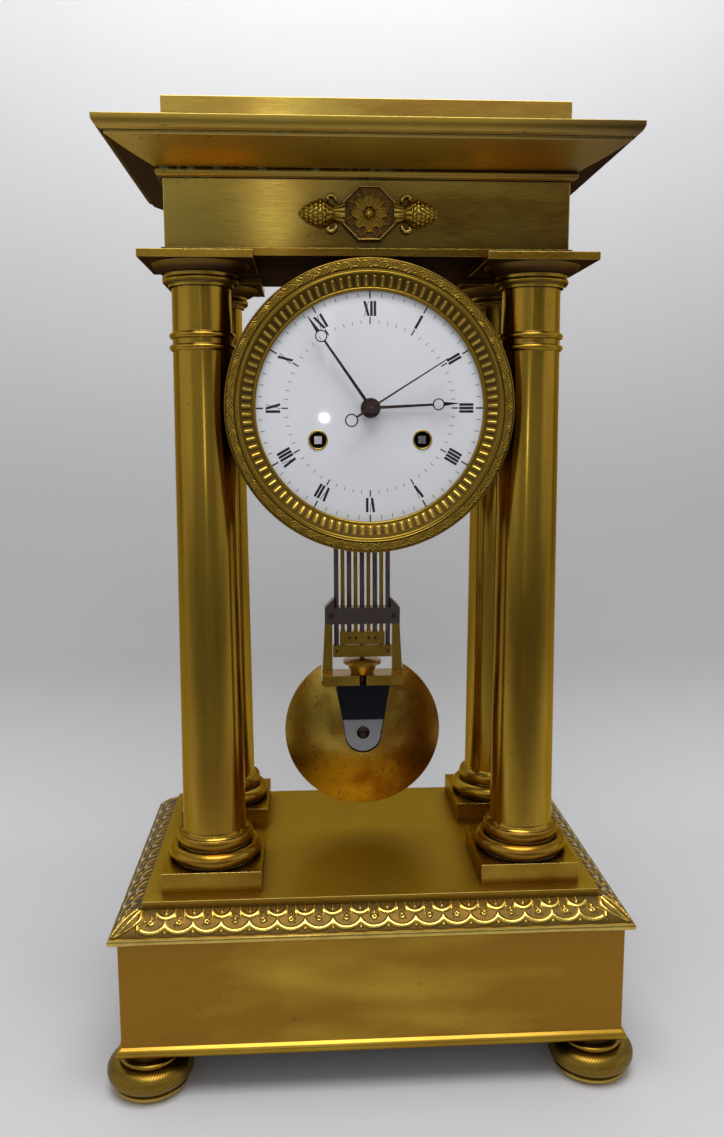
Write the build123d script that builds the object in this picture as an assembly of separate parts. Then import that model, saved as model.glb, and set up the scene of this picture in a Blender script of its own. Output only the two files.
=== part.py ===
from build123d import *
import math
import os

# Four-column portico mantel clock in gilt brass, with a spring-driven striking movement in a drum,
# an enamel dial with centre seconds and a gridiron pendulum on a knife edge.
# Millimetres. X to the right, Y to the back, Z up. The origin is on the table, under the centre.

# Fits
RUN_FIT = 0.05
SLIDE_FIT = 0.25
PRESS_GAP = 0.02
BOLT_FIT = 0.25

# Feet
FOOT_H = 20.8
FOOT_R = 20.5
FOOT_NECK_R = 11.0
FOOT_COLLAR_R = 13.6
FOOT_PAD_R = 15.0
FOOT_NECK_H = 3.4
FOOT_COLLAR_H = 3.0
FOOT_PAD_H = 3.6
FOOT_INSET = 11.4

# Base
LOWER_MOULD_H = 4.7
LOWER_MOULD_OUT = 2.1
LOWER_FRAME_W = 27.0
BASE_WALL = 3.5
BASE_BOX_H = 52.6
RIM_OUT = 4.0
RIM_BEAD_H = 3.2
RIM_SLOPE_H = 8.0
RIM_TOP_H = 0.9
RIM_SLOPE_RUN = 11.4
RIM_STEP = 1.6
SLAB_REVEAL = 1.2
RIM_FRAME_W = 30.0
SLAB_T = 2.2
SLAB_MARGIN_X = 8.2
SLAB_MARGIN_Y = 6.3

# Columns
PLINTH_SIDE = 47.4
PLINTH_H = 10.5
TORUS_R = 22.7
TORUS_H = 8.2
BASE_FILLET_R = 18.6
BASE_FILLET_H = 4.6
BASE_FILLET_ROUND = 0.6
SHAFT_R_LOW = 15.4
SHAFT_R_HIGH = 13.5
SHAFT_BORE_R = 10.0
ASTRAGAL_OUT = 1.5
ASTRAGAL_H = 3.0
ASTRAGAL_PITCH = 5.4
ASTRAGAL_DROP = 21.5
ANNULET_R = 16.3
ANNULET_H = 5.6
ECHINUS_R = 22.0
ECHINUS_H = 4.3
ABACUS_SIDE = 50.0
ABACUS_H = 3.4
TIE_ROD_R = 2.5
TIE_NUT_R = 4.4
TIE_NUT_H = 4.0
TIE_ROD_END = 1.5
COLUMN_HALF_Y = 38.7

# Entablature
SOFFIT_T = 3.5
SOFFIT_EDGE_X = 16.4
SOFFIT_EDGE_Y = 9.5
FRIEZE_SET = 1.4
FRIEZE_WALL = 3.0
FRIEZE_H = 30.0
CORNICE_BEAD_H = 3.8
CORNICE_BEAD_OUT = 3.0
CORNICE_CYMA_H = 8.4
CORNICE_CYMA_RUN = 18.0
CORNICE_GROOVE_H = 1.4
CORNICE_FASCIA_H = 5.6
CORNICE_FASCIA_RUN = 4.6
CORNICE_SEAT = 5.0
ATTIC_H = 15.2
ATTIC_WALL = 3.0

# Frieze ornament
OCTAGON_FLATS = 24.0
OCTAGON_T = 2.2
OCTAGON_RIM_W = 1.5
OCTAGON_RIM_T = 1.0
PETAL_COUNT = 8
PETAL_L = 7.4
PETAL_W = 3.8
PETAL_T = 1.5
FLOWER_EYE_R = 2.3
COLLAR_L = 4.6
COLLAR_R = 4.2
SCROLL_R = 2.0
CONE_L = 14.6
CONE_R = 6.6
ORNAMENT_BURY = 1.0

# Drum, bezel and dial
# What lies in the plane of the dial is a share of the drum's radius, so that it follows the drum.
DRUM_R = 60.0
DRUM_WALL = 1.5
DRUM_LIP = 3.5
DRUM_REAR = 3.5
DRUM_COLUMN_GAP = 1.25
BEZEL_FLANGE = 6.2
BEZEL_COLUMN_GAP = 0.3
BEZEL_SOFFIT_GAP = 1.7
BEZEL_RIM_T = 1.6
BEZEL_H = 6.6
BEZEL_BORDER_W = 4.9
BEZEL_FILLET_W = 1.9
BEZEL_COVE_W = 5.8
BEZEL_COVE_DROP = 2.6
BEZEL_LIP_W = 1.5
BEZEL_STEP = 0.5
BEZEL_LIP_RISE = 1.0
DIAL_BED = 2.0
DIAL_T = 1.2
DIAL_RISE = 2.6
DIAL_SEAT = 1.8
DIAL_HOLE_R = 0.0667 * DRUM_R
DIAL_FIT = 0.3
DIAL_FOOT_R = 1.3
DIAL_FOOT_ANGLES = (90.0, 210.0, 330.0)
DIAL_FOOT_AT = 0.767 * DRUM_R
WINDING_HOLE_R = 4.2
WINDING_BELOW = 0.24 * DRUM_R
SADDLE_W = 36.0
SADDLE_L = 26.0
SADDLE_SETBACK = 14.0

# Movement frame
PLATE_T = 2.5
PLATE_SETBACK = 3.5
PLATE_EDGE = 0.075 * DRUM_R
PILLAR_R = 0.05 * DRUM_R
PILLAR_WAIST_R = 0.0367 * DRUM_R
PILLAR_EDGE = 0.1 * DRUM_R
PILLAR_ANGLES = (20.0, 75.0, 153.0, 250.0, 290.0)
CENTRE_BUSH_R = 0.0533 * DRUM_R
CENTRE_BUSH_L = 7.5
END_SHAKE = 2.0
BARREL_H = 17.0
GREAT_WHEEL_T = 2.0
INTER_GAP = 2.0
INTER_T = 1.5
CENTRE_GAP = 2.5
CENTRE_T = 1.5
THIRD_GAP = 2.2
THIRD_T = 1.4
ESCAPE_GAP = 2.4
ESCAPE_T = 1.0
REAR_GAP = 4.5
PINION_OVER = 0.5
PIVOT_END = 0.4

# Toothing, as shares of the module and of the pitch
WHEEL_ADDENDUM = 0.85
WHEEL_DEDENDUM = 1.15
WHEEL_TIP = 0.20
WHEEL_ROOT = 0.50
LEAF_ADDENDUM = 0.70
LEAF_DEDENDUM = 1.25
LEAF_TIP = 0.20
LEAF_ROOT = 0.36
WHEEL_RIM = 2.6
SPOKE_W = 2.4
SPOKES = 4

# Going and strike trains
GREAT_TEETH = 66
GREAT_MODULE = 0.0100 * DRUM_R
INTER_LEAF_COUNT = 10
INTER_TEETH = 60
INTER_MODULE = 0.0090 * DRUM_R
CENTRE_LEAF_COUNT = 10
CENTRE_TEETH = 64
CENTRE_MODULE = DRUM_R / 120
THIRD_LEAF_COUNT = 8
THIRD_TEETH = 60
ESCAPE_LEAF_COUNT = 8
BARREL_CLEAR = 0.06 * DRUM_R
BARREL_STEP = 0.6
BARREL_ARBOR_R = 2.5
BARREL_PIVOT_R = 1.5
BARREL_CAP_T = 1.2
WINDING_SQUARE = 3.5
WINDING_RECESS = 1.0
RATCHET_TEETH = 24
RATCHET_R = 7.0
RATCHET_DEPTH = 1.0
RATCHET_T = 1.5
CLICK_T = 1.5
CLICK_W = 3.0
CLICK_GAP = 0.4
CLICK_L = 11.0
ARBOR_R = 0.015 * DRUM_R
HUB_R = 2.6
CENTRE_PIPE_R = 0.0233 * DRUM_R
CENTRE_PIPE_END = 1.5
ESCAPE_ARBOR_R = 0.0100 * DRUM_R
ESCAPE_PIN_COUNT = 60
ESCAPE_PIN_CIRCLE_R = 0.223 * DRUM_R
ESCAPE_PIN_R = 0.32
ESCAPE_PIN_L = 1.2
ESCAPE_RIM = 0.8
PALLET_ARBOR_UP = 0.434 * DRUM_R
PALLET_CLEAR = 2.4
PALLET_W = 1.8
PALLET_HALF_ANGLE = 25.0
UP_ANGLE = 90.0
PALLET_STEM_W = 2.4
CRUTCH_SETBACK = 5.0
CRUTCH_T = 1.5
CRUTCH_W = 3.4
CRUTCH_L = 61.0
FORK_T = 0.5
FORK_H = 2.4

# Motion work
CANNON_TEETH = 12
MINUTE_TEETH = 36
MINUTE_LEAF_COUNT = 10
HOUR_TEETH = 40
MOTION_MODULE = DRUM_R / 120
MOTION_T = 1.6
MOTION_CLEAR = 0.6
MOTION_STUD_R = 1.0
CANNON_PIPE_R = 0.0367 * DRUM_R
HOUR_PIPE_R = 0.05 * DRUM_R

# Strike work
PIN_WHEEL_LEAF_COUNT = 10
PIN_WHEEL_TEETH = 48
PIN_WHEEL_MODULE = 0.0075 * DRUM_R
PIN_WHEEL_DIRECTION = 100.0
PIN_COUNT = 10
PIN_CIRCLE_R = 0.127 * DRUM_R
PIN_R = 0.5
PIN_L = 3.0
FLY_LEAF_COUNT = 8
FLY_DIRECTION = 30.0
FLY_REACH = 0.15 * DRUM_R
FLY_L = 18.0
FLY_T = 0.6
FLY_HUB_R = 1.4
FLY_ANGLE = 60.0
COUNT_WHEEL_R = 0.25 * DRUM_R
COUNT_WHEEL_T = 1.4
COUNT_NOTCH_DEPTH = 0.03 * DRUM_R
COUNT_NOTCH_W = 0.0267 * DRUM_R
COUNT_SETBACK = 2.0
HAMMER_X = 0.767 * DRUM_R
HAMMER_BELOW = 0.367 * DRUM_R
HAMMER_ARBOR_R = 1.2
HAMMER_ARM_W = 2.6
HAMMER_ARM_T = 2.4
HAMMER_HEAD_R = 3.0
HAMMER_HEAD_L = 7.0
HAMMER_GAP = 1.7
HAMMER_TAIL_L = 0.633 * DRUM_R
BELL_R = 0.567 * DRUM_R
BELL_H = 20.0
BELL_T = 2.2
BELL_LIP = 2.4
BELL_STUD_R = 2.5
BELL_NUT_R = 4.6
BELL_NUT_H = 3.0
BELL_BAR_H = 6.0
BELL_BAR_T = 3.0
BELL_BAR_GAP = 2.6
BELL_MOUTH_GAP = 1.6
BELL_POST_R = 3.0
BELL_POST_X = 0.683 * DRUM_R

# Hands
HAND_T = 0.8
HOUR_HAND_L = 0.668 * DRUM_R
HOUR_RING_AT = 0.517 * DRUM_R
MINUTE_HAND_L = 0.817 * DRUM_R
MINUTE_RING_AT = 0.643 * DRUM_R
HAND_RING_R = 2.7
HAND_RING_BORE = 2.2
HAND_ROOT_W = 1.5
HAND_WAIST_W = 1.0
HAND_POINT_W = 1.8
HAND_TIP_W = 0.3
HOUR_HUB_R = 0.075 * DRUM_R
MINUTE_HUB_R = 0.0633 * DRUM_R
SECONDS_HAND_L = 0.68 * DRUM_R
SECONDS_RING_AT = 0.175 * DRUM_R
SECONDS_RING_R = 3.0
SECONDS_RING_BORE = 2.4
SECONDS_W = 1.0
SECONDS_TIP_W = 0.5
SECONDS_HUB_R = 0.0433 * DRUM_R
HAND_GAP = 0.8
HUB_T = 1.5
HOUR_COUNT = 2
MINUTE_COUNT = 54
SECOND_COUNT = 9.65

# Pendulum
PENDULUM_SETBACK = 19.0
PENDULUM_L = 248.5
BOB_CLEAR = 12.4
PIVOT_RISE = 3.6
KNIFE_EDGE_R = 0.35
KNIFE_H = 5.0
KNIFE_W = 4.6
KNIFE_SIDE = 8.0
HANGER_W = 6.0
HANGER_T = 4.0
HANGER_L = 23.0
HANGER_SLOT_FIT = 2.2
COCK_BASE_T = 1.8
COCK_BLOCK_T = 4.6
COCK_BLOCK_W = 14.0
COCK_BASE_MARGIN = 2.4
COCK_V_HALF_ANGLE = 52.0
COCK_WALL_H = 3.2
ROD_PITCH = 3.5
STEEL_ROD_R = 1.3
BRASS_ROD_R = 1.1
BAR_T = 5.0
BAR_WALL = 0.6
TOP_BAR_H = 7.0
UPPER_BAR_H = 5.0
UPPER_BAR_STEP = 10.0
LOWER_BAR_H = 6.4
SMALL_BAR_H = 6.8
BAR_GAP = 0.7
ROD_SEAT = 3.0
BOB_R = 42.6
BOB_T = 20.0
BOB_EDGE_T = 2.4
BOB_NOTCH_UP = 26.4
NOTCH_FIT = 0.4
STIRRUP_BAR_H = 9.0
STIRRUP_BAR_T = 8.0
STIRRUP_EAR_H = 4.8
STIRRUP_EAR_W = 4.2
STIRRUP_ARM_W_HIGH = 4.0
STIRRUP_ARM_W_LOW = 5.6
STIRRUP_ARM_T = 5.0
STIRRUP_DROP = 4.6
ARM_GAP = 0.4
BRIDGE_H = 5.4
BRIDGE_T = 16.0
BRIDGE_SLOT_W = 3.6
NUT_H = 8.0
NUT_FLANGE_R = 10.4
NUT_FLANGE_H = 2.4
NUT_BODY_R = 8.2
NUT_FOOT_R = 6.2
NUT_TRAVEL_UP = 1.3
SHIELD_W_TOP = 29.0
SHIELD_W_LOW = 19.0
SHIELD_DROP = 37.0
SHIELD_T = 1.5
SHIELD_SINK = 4.0
SHIELD_SCREW_R = 3.6
SHIELD_SCREW_H = 1.4


# Levels, from the table up: the pendulum and the room under its bob set the height of the columns
Z_FRAME = FOOT_H
Z_BOX = Z_FRAME + LOWER_MOULD_H
Z_RIM = Z_BOX + BASE_BOX_H
Z_SLAB = Z_RIM + RIM_BEAD_H + RIM_SLOPE_H + RIM_TOP_H
Z_PLINTH = Z_SLAB + SLAB_T
Z_SHAFT = Z_PLINTH + PLINTH_H + TORUS_H + BASE_FILLET_H
Z_BOB = Z_PLINTH + BOB_CLEAR + BOB_R
Z_PIVOT = Z_BOB + PENDULUM_L
Z_FRIEZE = Z_PIVOT - PIVOT_RISE
Z_SOFFIT = Z_FRIEZE - SOFFIT_T
Z_CAPITAL = Z_SOFFIT - ABACUS_H - ECHINUS_H - ANNULET_H
SHAFT_H = Z_CAPITAL - Z_SHAFT
Z_CORNICE = Z_FRIEZE + FRIEZE_H
Z_ATTIC = Z_CORNICE + CORNICE_BEAD_H + CORNICE_CYMA_H + CORNICE_GROOVE_H + CORNICE_FASCIA_H
Z_TOP = Z_ATTIC + ATTIC_H

# Plan sizes: the drum sets the columns, the columns set what stands above and below them
COLUMN_HALF_X = DRUM_R + DRUM_COLUMN_GAP + SHAFT_R_LOW
BEZEL_R = DRUM_R + BEZEL_FLANGE
SLAB_HALF_X = COLUMN_HALF_X + PLINTH_SIDE / 2 + SLAB_MARGIN_X
SLAB_HALF_Y = COLUMN_HALF_Y + PLINTH_SIDE / 2 + SLAB_MARGIN_Y
RIM_HALF_X = SLAB_HALF_X + SLAB_REVEAL + RIM_SLOPE_RUN + RIM_STEP
RIM_HALF_Y = SLAB_HALF_Y + SLAB_REVEAL + RIM_SLOPE_RUN + RIM_STEP
BOX_HALF_X = RIM_HALF_X - RIM_OUT
BOX_HALF_Y = RIM_HALF_Y - RIM_OUT
FRAME_HALF_X = BOX_HALF_X + LOWER_MOULD_OUT
FRAME_HALF_Y = BOX_HALF_Y + LOWER_MOULD_OUT
FOOT_X = BOX_HALF_X - FOOT_INSET
FOOT_Y = BOX_HALF_Y - FOOT_INSET
SOFFIT_HALF_X = COLUMN_HALF_X + SOFFIT_EDGE_X
SOFFIT_HALF_Y = COLUMN_HALF_Y + SOFFIT_EDGE_Y
FRIEZE_HALF_X = SOFFIT_HALF_X - FRIEZE_SET
FRIEZE_HALF_Y = SOFFIT_HALF_Y - FRIEZE_SET
COLUMNS = [
    ("front_left", -COLUMN_HALF_X, -COLUMN_HALF_Y),
    ("front_right", COLUMN_HALF_X, -COLUMN_HALF_Y),
    ("rear_left", -COLUMN_HALF_X, COLUMN_HALF_Y),
    ("rear_right", COLUMN_HALF_X, COLUMN_HALF_Y),
]

# Depth levels of the movement, from the bezel to the back
COLUMN_CHORD = COLUMN_HALF_X - BEZEL_R
COLUMN_FRONT = math.sqrt(SHAFT_R_LOW ** 2 - COLUMN_CHORD ** 2)
Y_BEZEL = -(COLUMN_HALF_Y + COLUMN_FRONT + BEZEL_COLUMN_GAP)
Z_DIAL = Z_SOFFIT - BEZEL_SOFFIT_GAP - BEZEL_R
Y_PLATE = Y_BEZEL + PLATE_SETBACK
Y_PLATE_IN = Y_PLATE + PLATE_T
Y_BARREL = Y_PLATE_IN + END_SHAKE
Y_GREAT = Y_BARREL + BARREL_H
Y_INTER = Y_GREAT + GREAT_WHEEL_T + INTER_GAP
Y_CENTRE = Y_INTER + INTER_T + CENTRE_GAP
Y_THIRD = Y_CENTRE + CENTRE_T + THIRD_GAP
Y_ESCAPE = Y_THIRD + THIRD_T + ESCAPE_GAP
Y_BACK = Y_ESCAPE + ESCAPE_T + REAR_GAP
Y_BACK_OUT = Y_BACK + PLATE_T
Y_DRUM_END = Y_BACK_OUT + DRUM_REAR
Y_PEND = Y_BACK_OUT + PENDULUM_SETBACK
Y_DIAL_EDGE = Y_BEZEL - DIAL_BED
Y_DIAL_MID = Y_DIAL_EDGE - DIAL_RISE


# Basic forms

def path_face(points, place):
    """Face inside a closed outline: (u, v) is reached by a line, (u, v, mu, mv) by an arc through (mu, mv)."""
    edges = []
    last = points[0][:2]
    for point in points[1:] + [points[0][:2]]:
        end = point[:2]
        if len(point) == 4:
            edges.append(Edge.make_three_point_arc(place(*last), place(*point[2:]), place(*end)))
        elif math.dist(last, end) > 1e-6:
            edges.append(Edge.make_line(place(*last), place(*end)))
        last = end
    return Face(Wire(edges))


def turned_up(points, x=0.0, y=0.0):
    """Turned solid about a vertical axis, from an outline of (radius, height) points."""
    solid = revolve(path_face(points, lambda u, v: (u, 0, v)), axis=Axis.Z)
    return Pos(x, y, 0) * solid


def turned_back(points, x=0.0, z=0.0):
    """Turned solid about an axis along Y, from an outline of (radius, depth) points."""
    solid = revolve(path_face(points, lambda u, v: (u, v, 0)), axis=Axis.Y)
    return Pos(x, 0, z) * solid


def along_y(sketch, y_front, y_back, x=0.0, z=0.0, turn=0.0):
    """Sketch drawn as seen from the front, given its thickness from y_front to y_back."""
    plane = Plane(origin=(x, y_back, z), x_dir=(1, 0, 0), z_dir=(0, -1, 0))
    return extrude(plane * (Rot(0, 0, turn) * sketch), amount=y_back - y_front)


def rod_y(radius, y_front, y_back, x=0.0, z=0.0):
    return along_y(Circle(radius), y_front, y_back, x, z)


def rod_z(radius, z_low, z_high, x=0.0, y=0.0):
    return Pos(x, y, (z_low + z_high) / 2) * Cylinder(radius, z_high - z_low)


def block(x0, x1, y0, y1, z0, z1):
    return Pos((x0 + x1) / 2, (y0 + y1) / 2, (z0 + z1) / 2) * Box(x1 - x0, y1 - y0, z1 - z0)


def outline(points):
    return make_face(Polyline(*points, close=True))


def moulded_block(half_x, half_y, profile):
    """Block whose four sides follow one profile of (outwards, height) points, from the bottom up."""
    def section(half):
        mirrored = []
        for index in range(len(profile) - 1, -1, -1):
            point = profile[index]
            arc = profile[index + 1][2:] if index + 1 < len(profile) else ()
            tail = (-(half + arc[0]), arc[1]) if arc else ()
            mirrored.append((-(half + point[0]), point[1]) + tail)
        right = []
        for point in profile:
            tail = (half + point[2], point[3]) if len(point) == 4 else ()
            right.append((half + point[0], point[1]) + tail)
        return right + mirrored
    reach = half_x + half_y
    across = extrude(path_face(section(half_x), lambda u, v: (u, 0, v)), amount=reach, both=True)
    back = extrude(path_face(section(half_y), lambda u, v: (0, u, v)), amount=reach, both=True)
    return across & back


def mitre_wedges(outer_x, outer_y, inner_x, inner_y, z0, z1):
    """Front, right, rear and left lengths of a rectangular frame, mitred at the corners."""
    corners = [(-1, -1), (1, -1), (1, 1), (-1, 1)]
    wedges = []
    for index in range(4):
        a, b = corners[index], corners[(index + 1) % 4]
        points = [
            (a[0] * outer_x, a[1] * outer_y), (b[0] * outer_x, b[1] * outer_y),
            (b[0] * inner_x, b[1] * inner_y), (a[0] * inner_x, a[1] * inner_y),
        ]
        wedges.append(Pos(0, 0, z0) * extrude(outline(points), amount=z1 - z0))
    return wedges


def mitred_frame(half_x, half_y, profile, inner):
    """Four mitred lengths of moulding; inner is how far the frame reaches inside half_x and half_y."""
    z0, z1 = profile[0][1], profile[-1][1]
    grow = max(max(point[0::2]) for point in profile) + RUN_FIT
    solid = moulded_block(half_x, half_y, profile)
    wedges = mitre_wedges(half_x + grow, half_y + grow, half_x - inner, half_y - inner, z0, z1)
    return [solid & wedge for wedge in wedges]


# Toothed wheels

def tooth_points(teeth, module, phase, addendum, dedendum, tip, root):
    pitch = 2 * math.pi / teeth
    r_tip = teeth * module / 2 + addendum * module
    r_root = teeth * module / 2 - dedendum * module
    points = []
    for tooth in range(teeth):
        middle = math.radians(phase) + tooth * pitch
        for radius, share in ((r_root, -root), (r_tip, -tip), (r_tip, tip), (r_root, root)):
            angle = middle + share * pitch / 2
            points.append((radius * math.cos(angle), radius * math.sin(angle)))
    return points


def wheel_sketch(teeth, module, phase=0.0):
    return outline(tooth_points(teeth, module, phase, WHEEL_ADDENDUM, WHEEL_DEDENDUM, WHEEL_TIP, WHEEL_ROOT))


def leaf_sketch(teeth, module, phase=0.0):
    return outline(tooth_points(teeth, module, phase, LEAF_ADDENDUM, LEAF_DEDENDUM, LEAF_TIP, LEAF_ROOT))


def crossings(r_out, r_in, width, arms, turn=0.0):
    """Openings between the arms of a wheel."""
    spokes = Rot(0, 0, turn) * Rectangle(2 * r_out + width, width)
    for arm in range(1, arms // 2):
        spokes += Rot(0, 0, turn + arm * 360 / arms) * Rectangle(2 * r_out + width, width)
    return Circle(r_out) - Circle(r_in) - spokes


def crossed_wheel(teeth, module, phase=0.0):
    rim_in = teeth * module / 2 - WHEEL_DEDENDUM * module - WHEEL_RIM
    return wheel_sketch(teeth, module, phase) - crossings(rim_in, HUB_R + PINION_OVER, SPOKE_W, SPOKES, phase)


def mesh_phase(direction, phase, teeth, other_teeth):
    """Phase of the other wheel, in the given direction, so that its teeth stand in the gaps."""
    share = (direction - phase) * teeth / 360
    return direction + 180 - (0.5 - share) * 360 / other_teeth


def polar(radius, degrees):
    return (radius * math.cos(math.radians(degrees)), radius * math.sin(math.radians(degrees)))


def bearing(from_point, to_point):
    return math.degrees(math.atan2(to_point[1] - from_point[1], to_point[0] - from_point[0]))


# Arbor places, measured from the dial's centre as seen from the front
GREAT_R = GREAT_TEETH * GREAT_MODULE / 2
GREAT_TIP = GREAT_R + WHEEL_ADDENDUM * GREAT_MODULE
WINDING_X = GREAT_TIP + BARREL_CLEAR
GOING_AT = (WINDING_X, -WINDING_BELOW)
STRIKE_AT = (-WINDING_X, -WINDING_BELOW)
GREAT_TO_INTER = (GREAT_TEETH + INTER_LEAF_COUNT) * GREAT_MODULE / 2
INTER_TO_CENTRE = (INTER_TEETH + CENTRE_LEAF_COUNT) * INTER_MODULE / 2
GOING_REACH = math.hypot(*GOING_AT)
INTER_ALONG = (INTER_TO_CENTRE ** 2 - GREAT_TO_INTER ** 2 + GOING_REACH ** 2) / (2 * GOING_REACH)
INTER_ASIDE = math.sqrt(INTER_TO_CENTRE ** 2 - INTER_ALONG ** 2)
INTER_AT = (
    (GOING_AT[0] * INTER_ALONG - GOING_AT[1] * INTER_ASIDE) / GOING_REACH,
    (GOING_AT[1] * INTER_ALONG + GOING_AT[0] * INTER_ASIDE) / GOING_REACH,
)
CENTRE_TO_THIRD = (CENTRE_TEETH + THIRD_LEAF_COUNT) * CENTRE_MODULE / 2
THIRD_AT = (0.0, -CENTRE_TO_THIRD)
THIRD_MODULE = 2 * CENTRE_TO_THIRD / (THIRD_TEETH + ESCAPE_LEAF_COUNT)
MINUTE_DISTANCE = (CANNON_TEETH + MINUTE_TEETH) * MOTION_MODULE / 2
MINUTE_AT = (0.0, MINUTE_DISTANCE)
HOUR_MODULE = 2 * MINUTE_DISTANCE / (MINUTE_LEAF_COUNT + HOUR_TEETH)
SECOND_AT = (STRIKE_AT[0], STRIKE_AT[1] + GREAT_TO_INTER)
SECOND_TO_PIN = (INTER_TEETH + PIN_WHEEL_LEAF_COUNT) * INTER_MODULE / 2
PIN_STEP = polar(SECOND_TO_PIN, PIN_WHEEL_DIRECTION)
PIN_AT = (SECOND_AT[0] + PIN_STEP[0], SECOND_AT[1] + PIN_STEP[1])
FLY_STEP = polar((PIN_WHEEL_TEETH + FLY_LEAF_COUNT) * PIN_WHEEL_MODULE / 2, FLY_DIRECTION)
FLY_AT = (PIN_AT[0] + FLY_STEP[0], PIN_AT[1] + FLY_STEP[1])
PALLET_AT = (0.0, PALLET_ARBOR_UP)
HAMMER_AT = (-HAMMER_X, -HAMMER_BELOW)
PLATE_R = DRUM_R - DRUM_WALL - RUN_FIT
BACK_R = DRUM_R - DRUM_WALL - PLATE_EDGE


def at(point):
    """Place of an arbor in the clock's X and Z."""
    return point[0], Z_DIAL + point[1]


# Phases of the teeth, each wheel set into the one before it
GREAT_PHASE = 0.0
INTER_PINION_PHASE = mesh_phase(bearing(GOING_AT, INTER_AT), GREAT_PHASE, GREAT_TEETH, INTER_LEAF_COUNT)
INTER_PHASE = 0.0
CENTRE_PINION_PHASE = mesh_phase(bearing(INTER_AT, (0, 0)), INTER_PHASE, INTER_TEETH, CENTRE_LEAF_COUNT)
CENTRE_PHASE = 0.0
THIRD_PINION_PHASE = mesh_phase(bearing((0, 0), THIRD_AT), CENTRE_PHASE, CENTRE_TEETH, THIRD_LEAF_COUNT)
THIRD_PHASE = 0.0
ESCAPE_PINION_PHASE = mesh_phase(bearing(THIRD_AT, (0, 0)), THIRD_PHASE, THIRD_TEETH, ESCAPE_LEAF_COUNT)
MINUTE_PHASE = 0.0
CANNON_PHASE = mesh_phase(bearing(MINUTE_AT, (0, 0)), MINUTE_PHASE, MINUTE_TEETH, CANNON_TEETH)
HOUR_PHASE = 0.0
MINUTE_PINION_PHASE = mesh_phase(bearing((0, 0), MINUTE_AT), HOUR_PHASE, HOUR_TEETH, MINUTE_LEAF_COUNT)
SECOND_PINION_PHASE = mesh_phase(bearing(STRIKE_AT, SECOND_AT), GREAT_PHASE, GREAT_TEETH, INTER_LEAF_COUNT)
PIN_PINION_PHASE = mesh_phase(bearing(SECOND_AT, PIN_AT), INTER_PHASE, INTER_TEETH, PIN_WHEEL_LEAF_COUNT)
PIN_PHASE = 0.0
FLY_PINION_PHASE = mesh_phase(bearing(PIN_AT, FLY_AT), PIN_PHASE, PIN_WHEEL_TEETH, FLY_LEAF_COUNT)


# Case

def bun_feet():
    """Flattened bun feet: a pad, a bulging body, a collar and a recessed neck."""
    z_collar = FOOT_H - FOOT_NECK_H - FOOT_COLLAR_H
    z_neck = FOOT_H - FOOT_NECK_H
    belly = (FOOT_PAD_H + z_collar) / 2
    profile = [
        (0, 0), (FOOT_PAD_R, 0),
        ((FOOT_R + FOOT_PAD_R) / 2, FOOT_PAD_H, FOOT_PAD_R + 0.9 * (FOOT_R - FOOT_PAD_R) / 2, FOOT_PAD_H * 0.4),
        (FOOT_COLLAR_R, z_collar, FOOT_R, belly),
        (FOOT_COLLAR_R - FOOT_COLLAR_H / 4, z_neck, FOOT_COLLAR_R + FOOT_COLLAR_H / 3, (z_collar + z_neck) / 2),
        (FOOT_NECK_R, z_neck), (FOOT_NECK_R, FOOT_H), (0, FOOT_H),
    ]
    return [turned_up(profile, sx * FOOT_X, sy * FOOT_Y) for sy in (-1, 1) for sx in (-1, 1)]


def base_lower_moulding():
    """Bottom frame of the base with a rounded edge; its flat carries the feet."""
    out = LOWER_MOULD_OUT
    middle = Z_FRAME + LOWER_MOULD_H / 2
    profile = [(0, Z_FRAME), (out * 0.6, Z_FRAME), (out * 0.6, Z_BOX - LOWER_MOULD_H / 5, out, middle),
               (0, Z_BOX)]
    return mitred_frame(BOX_HALF_X, BOX_HALF_Y, profile, LOWER_FRAME_W)


def base_plinth_box():
    inner_x, inner_y = BOX_HALF_X - BASE_WALL, BOX_HALF_Y - BASE_WALL
    return mitre_wedges(BOX_HALF_X, BOX_HALF_Y, inner_x, inner_y, Z_BOX, Z_RIM)


def base_rim_moulding():
    """Bead and sloping band that lead from the box up to the slab."""
    z1 = Z_RIM + RIM_BEAD_H
    z2 = z1 + RIM_SLOPE_H
    bead = RIM_BEAD_H / 5
    slope_in = -(RIM_STEP + RIM_SLOPE_RUN)
    mid = (-(RIM_STEP + RIM_SLOPE_RUN * 0.45), z1 + RIM_SLOPE_H * 0.60)
    profile = [
        (-RIM_OUT - BASE_WALL, Z_RIM), (-bead, Z_RIM), (-bead, z1, 0, Z_RIM + RIM_BEAD_H / 2),
        (-RIM_STEP, z1), (slope_in, z2, *mid), (slope_in, Z_SLAB),
    ]
    return mitred_frame(RIM_HALF_X, RIM_HALF_Y, profile, RIM_FRAME_W)


def tie_bore(z0, z1, x, y):
    return rod_z(TIE_ROD_R + BOLT_FIT, z0 - RUN_FIT, z1 + RUN_FIT, x, y)


def base_top_slab():
    slab = block(-SLAB_HALF_X, SLAB_HALF_X, -SLAB_HALF_Y, SLAB_HALF_Y, Z_SLAB, Z_PLINTH)
    for _, x, y in COLUMNS:
        slab -= tie_bore(Z_SLAB, Z_PLINTH, x, y)
    return slab


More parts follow.
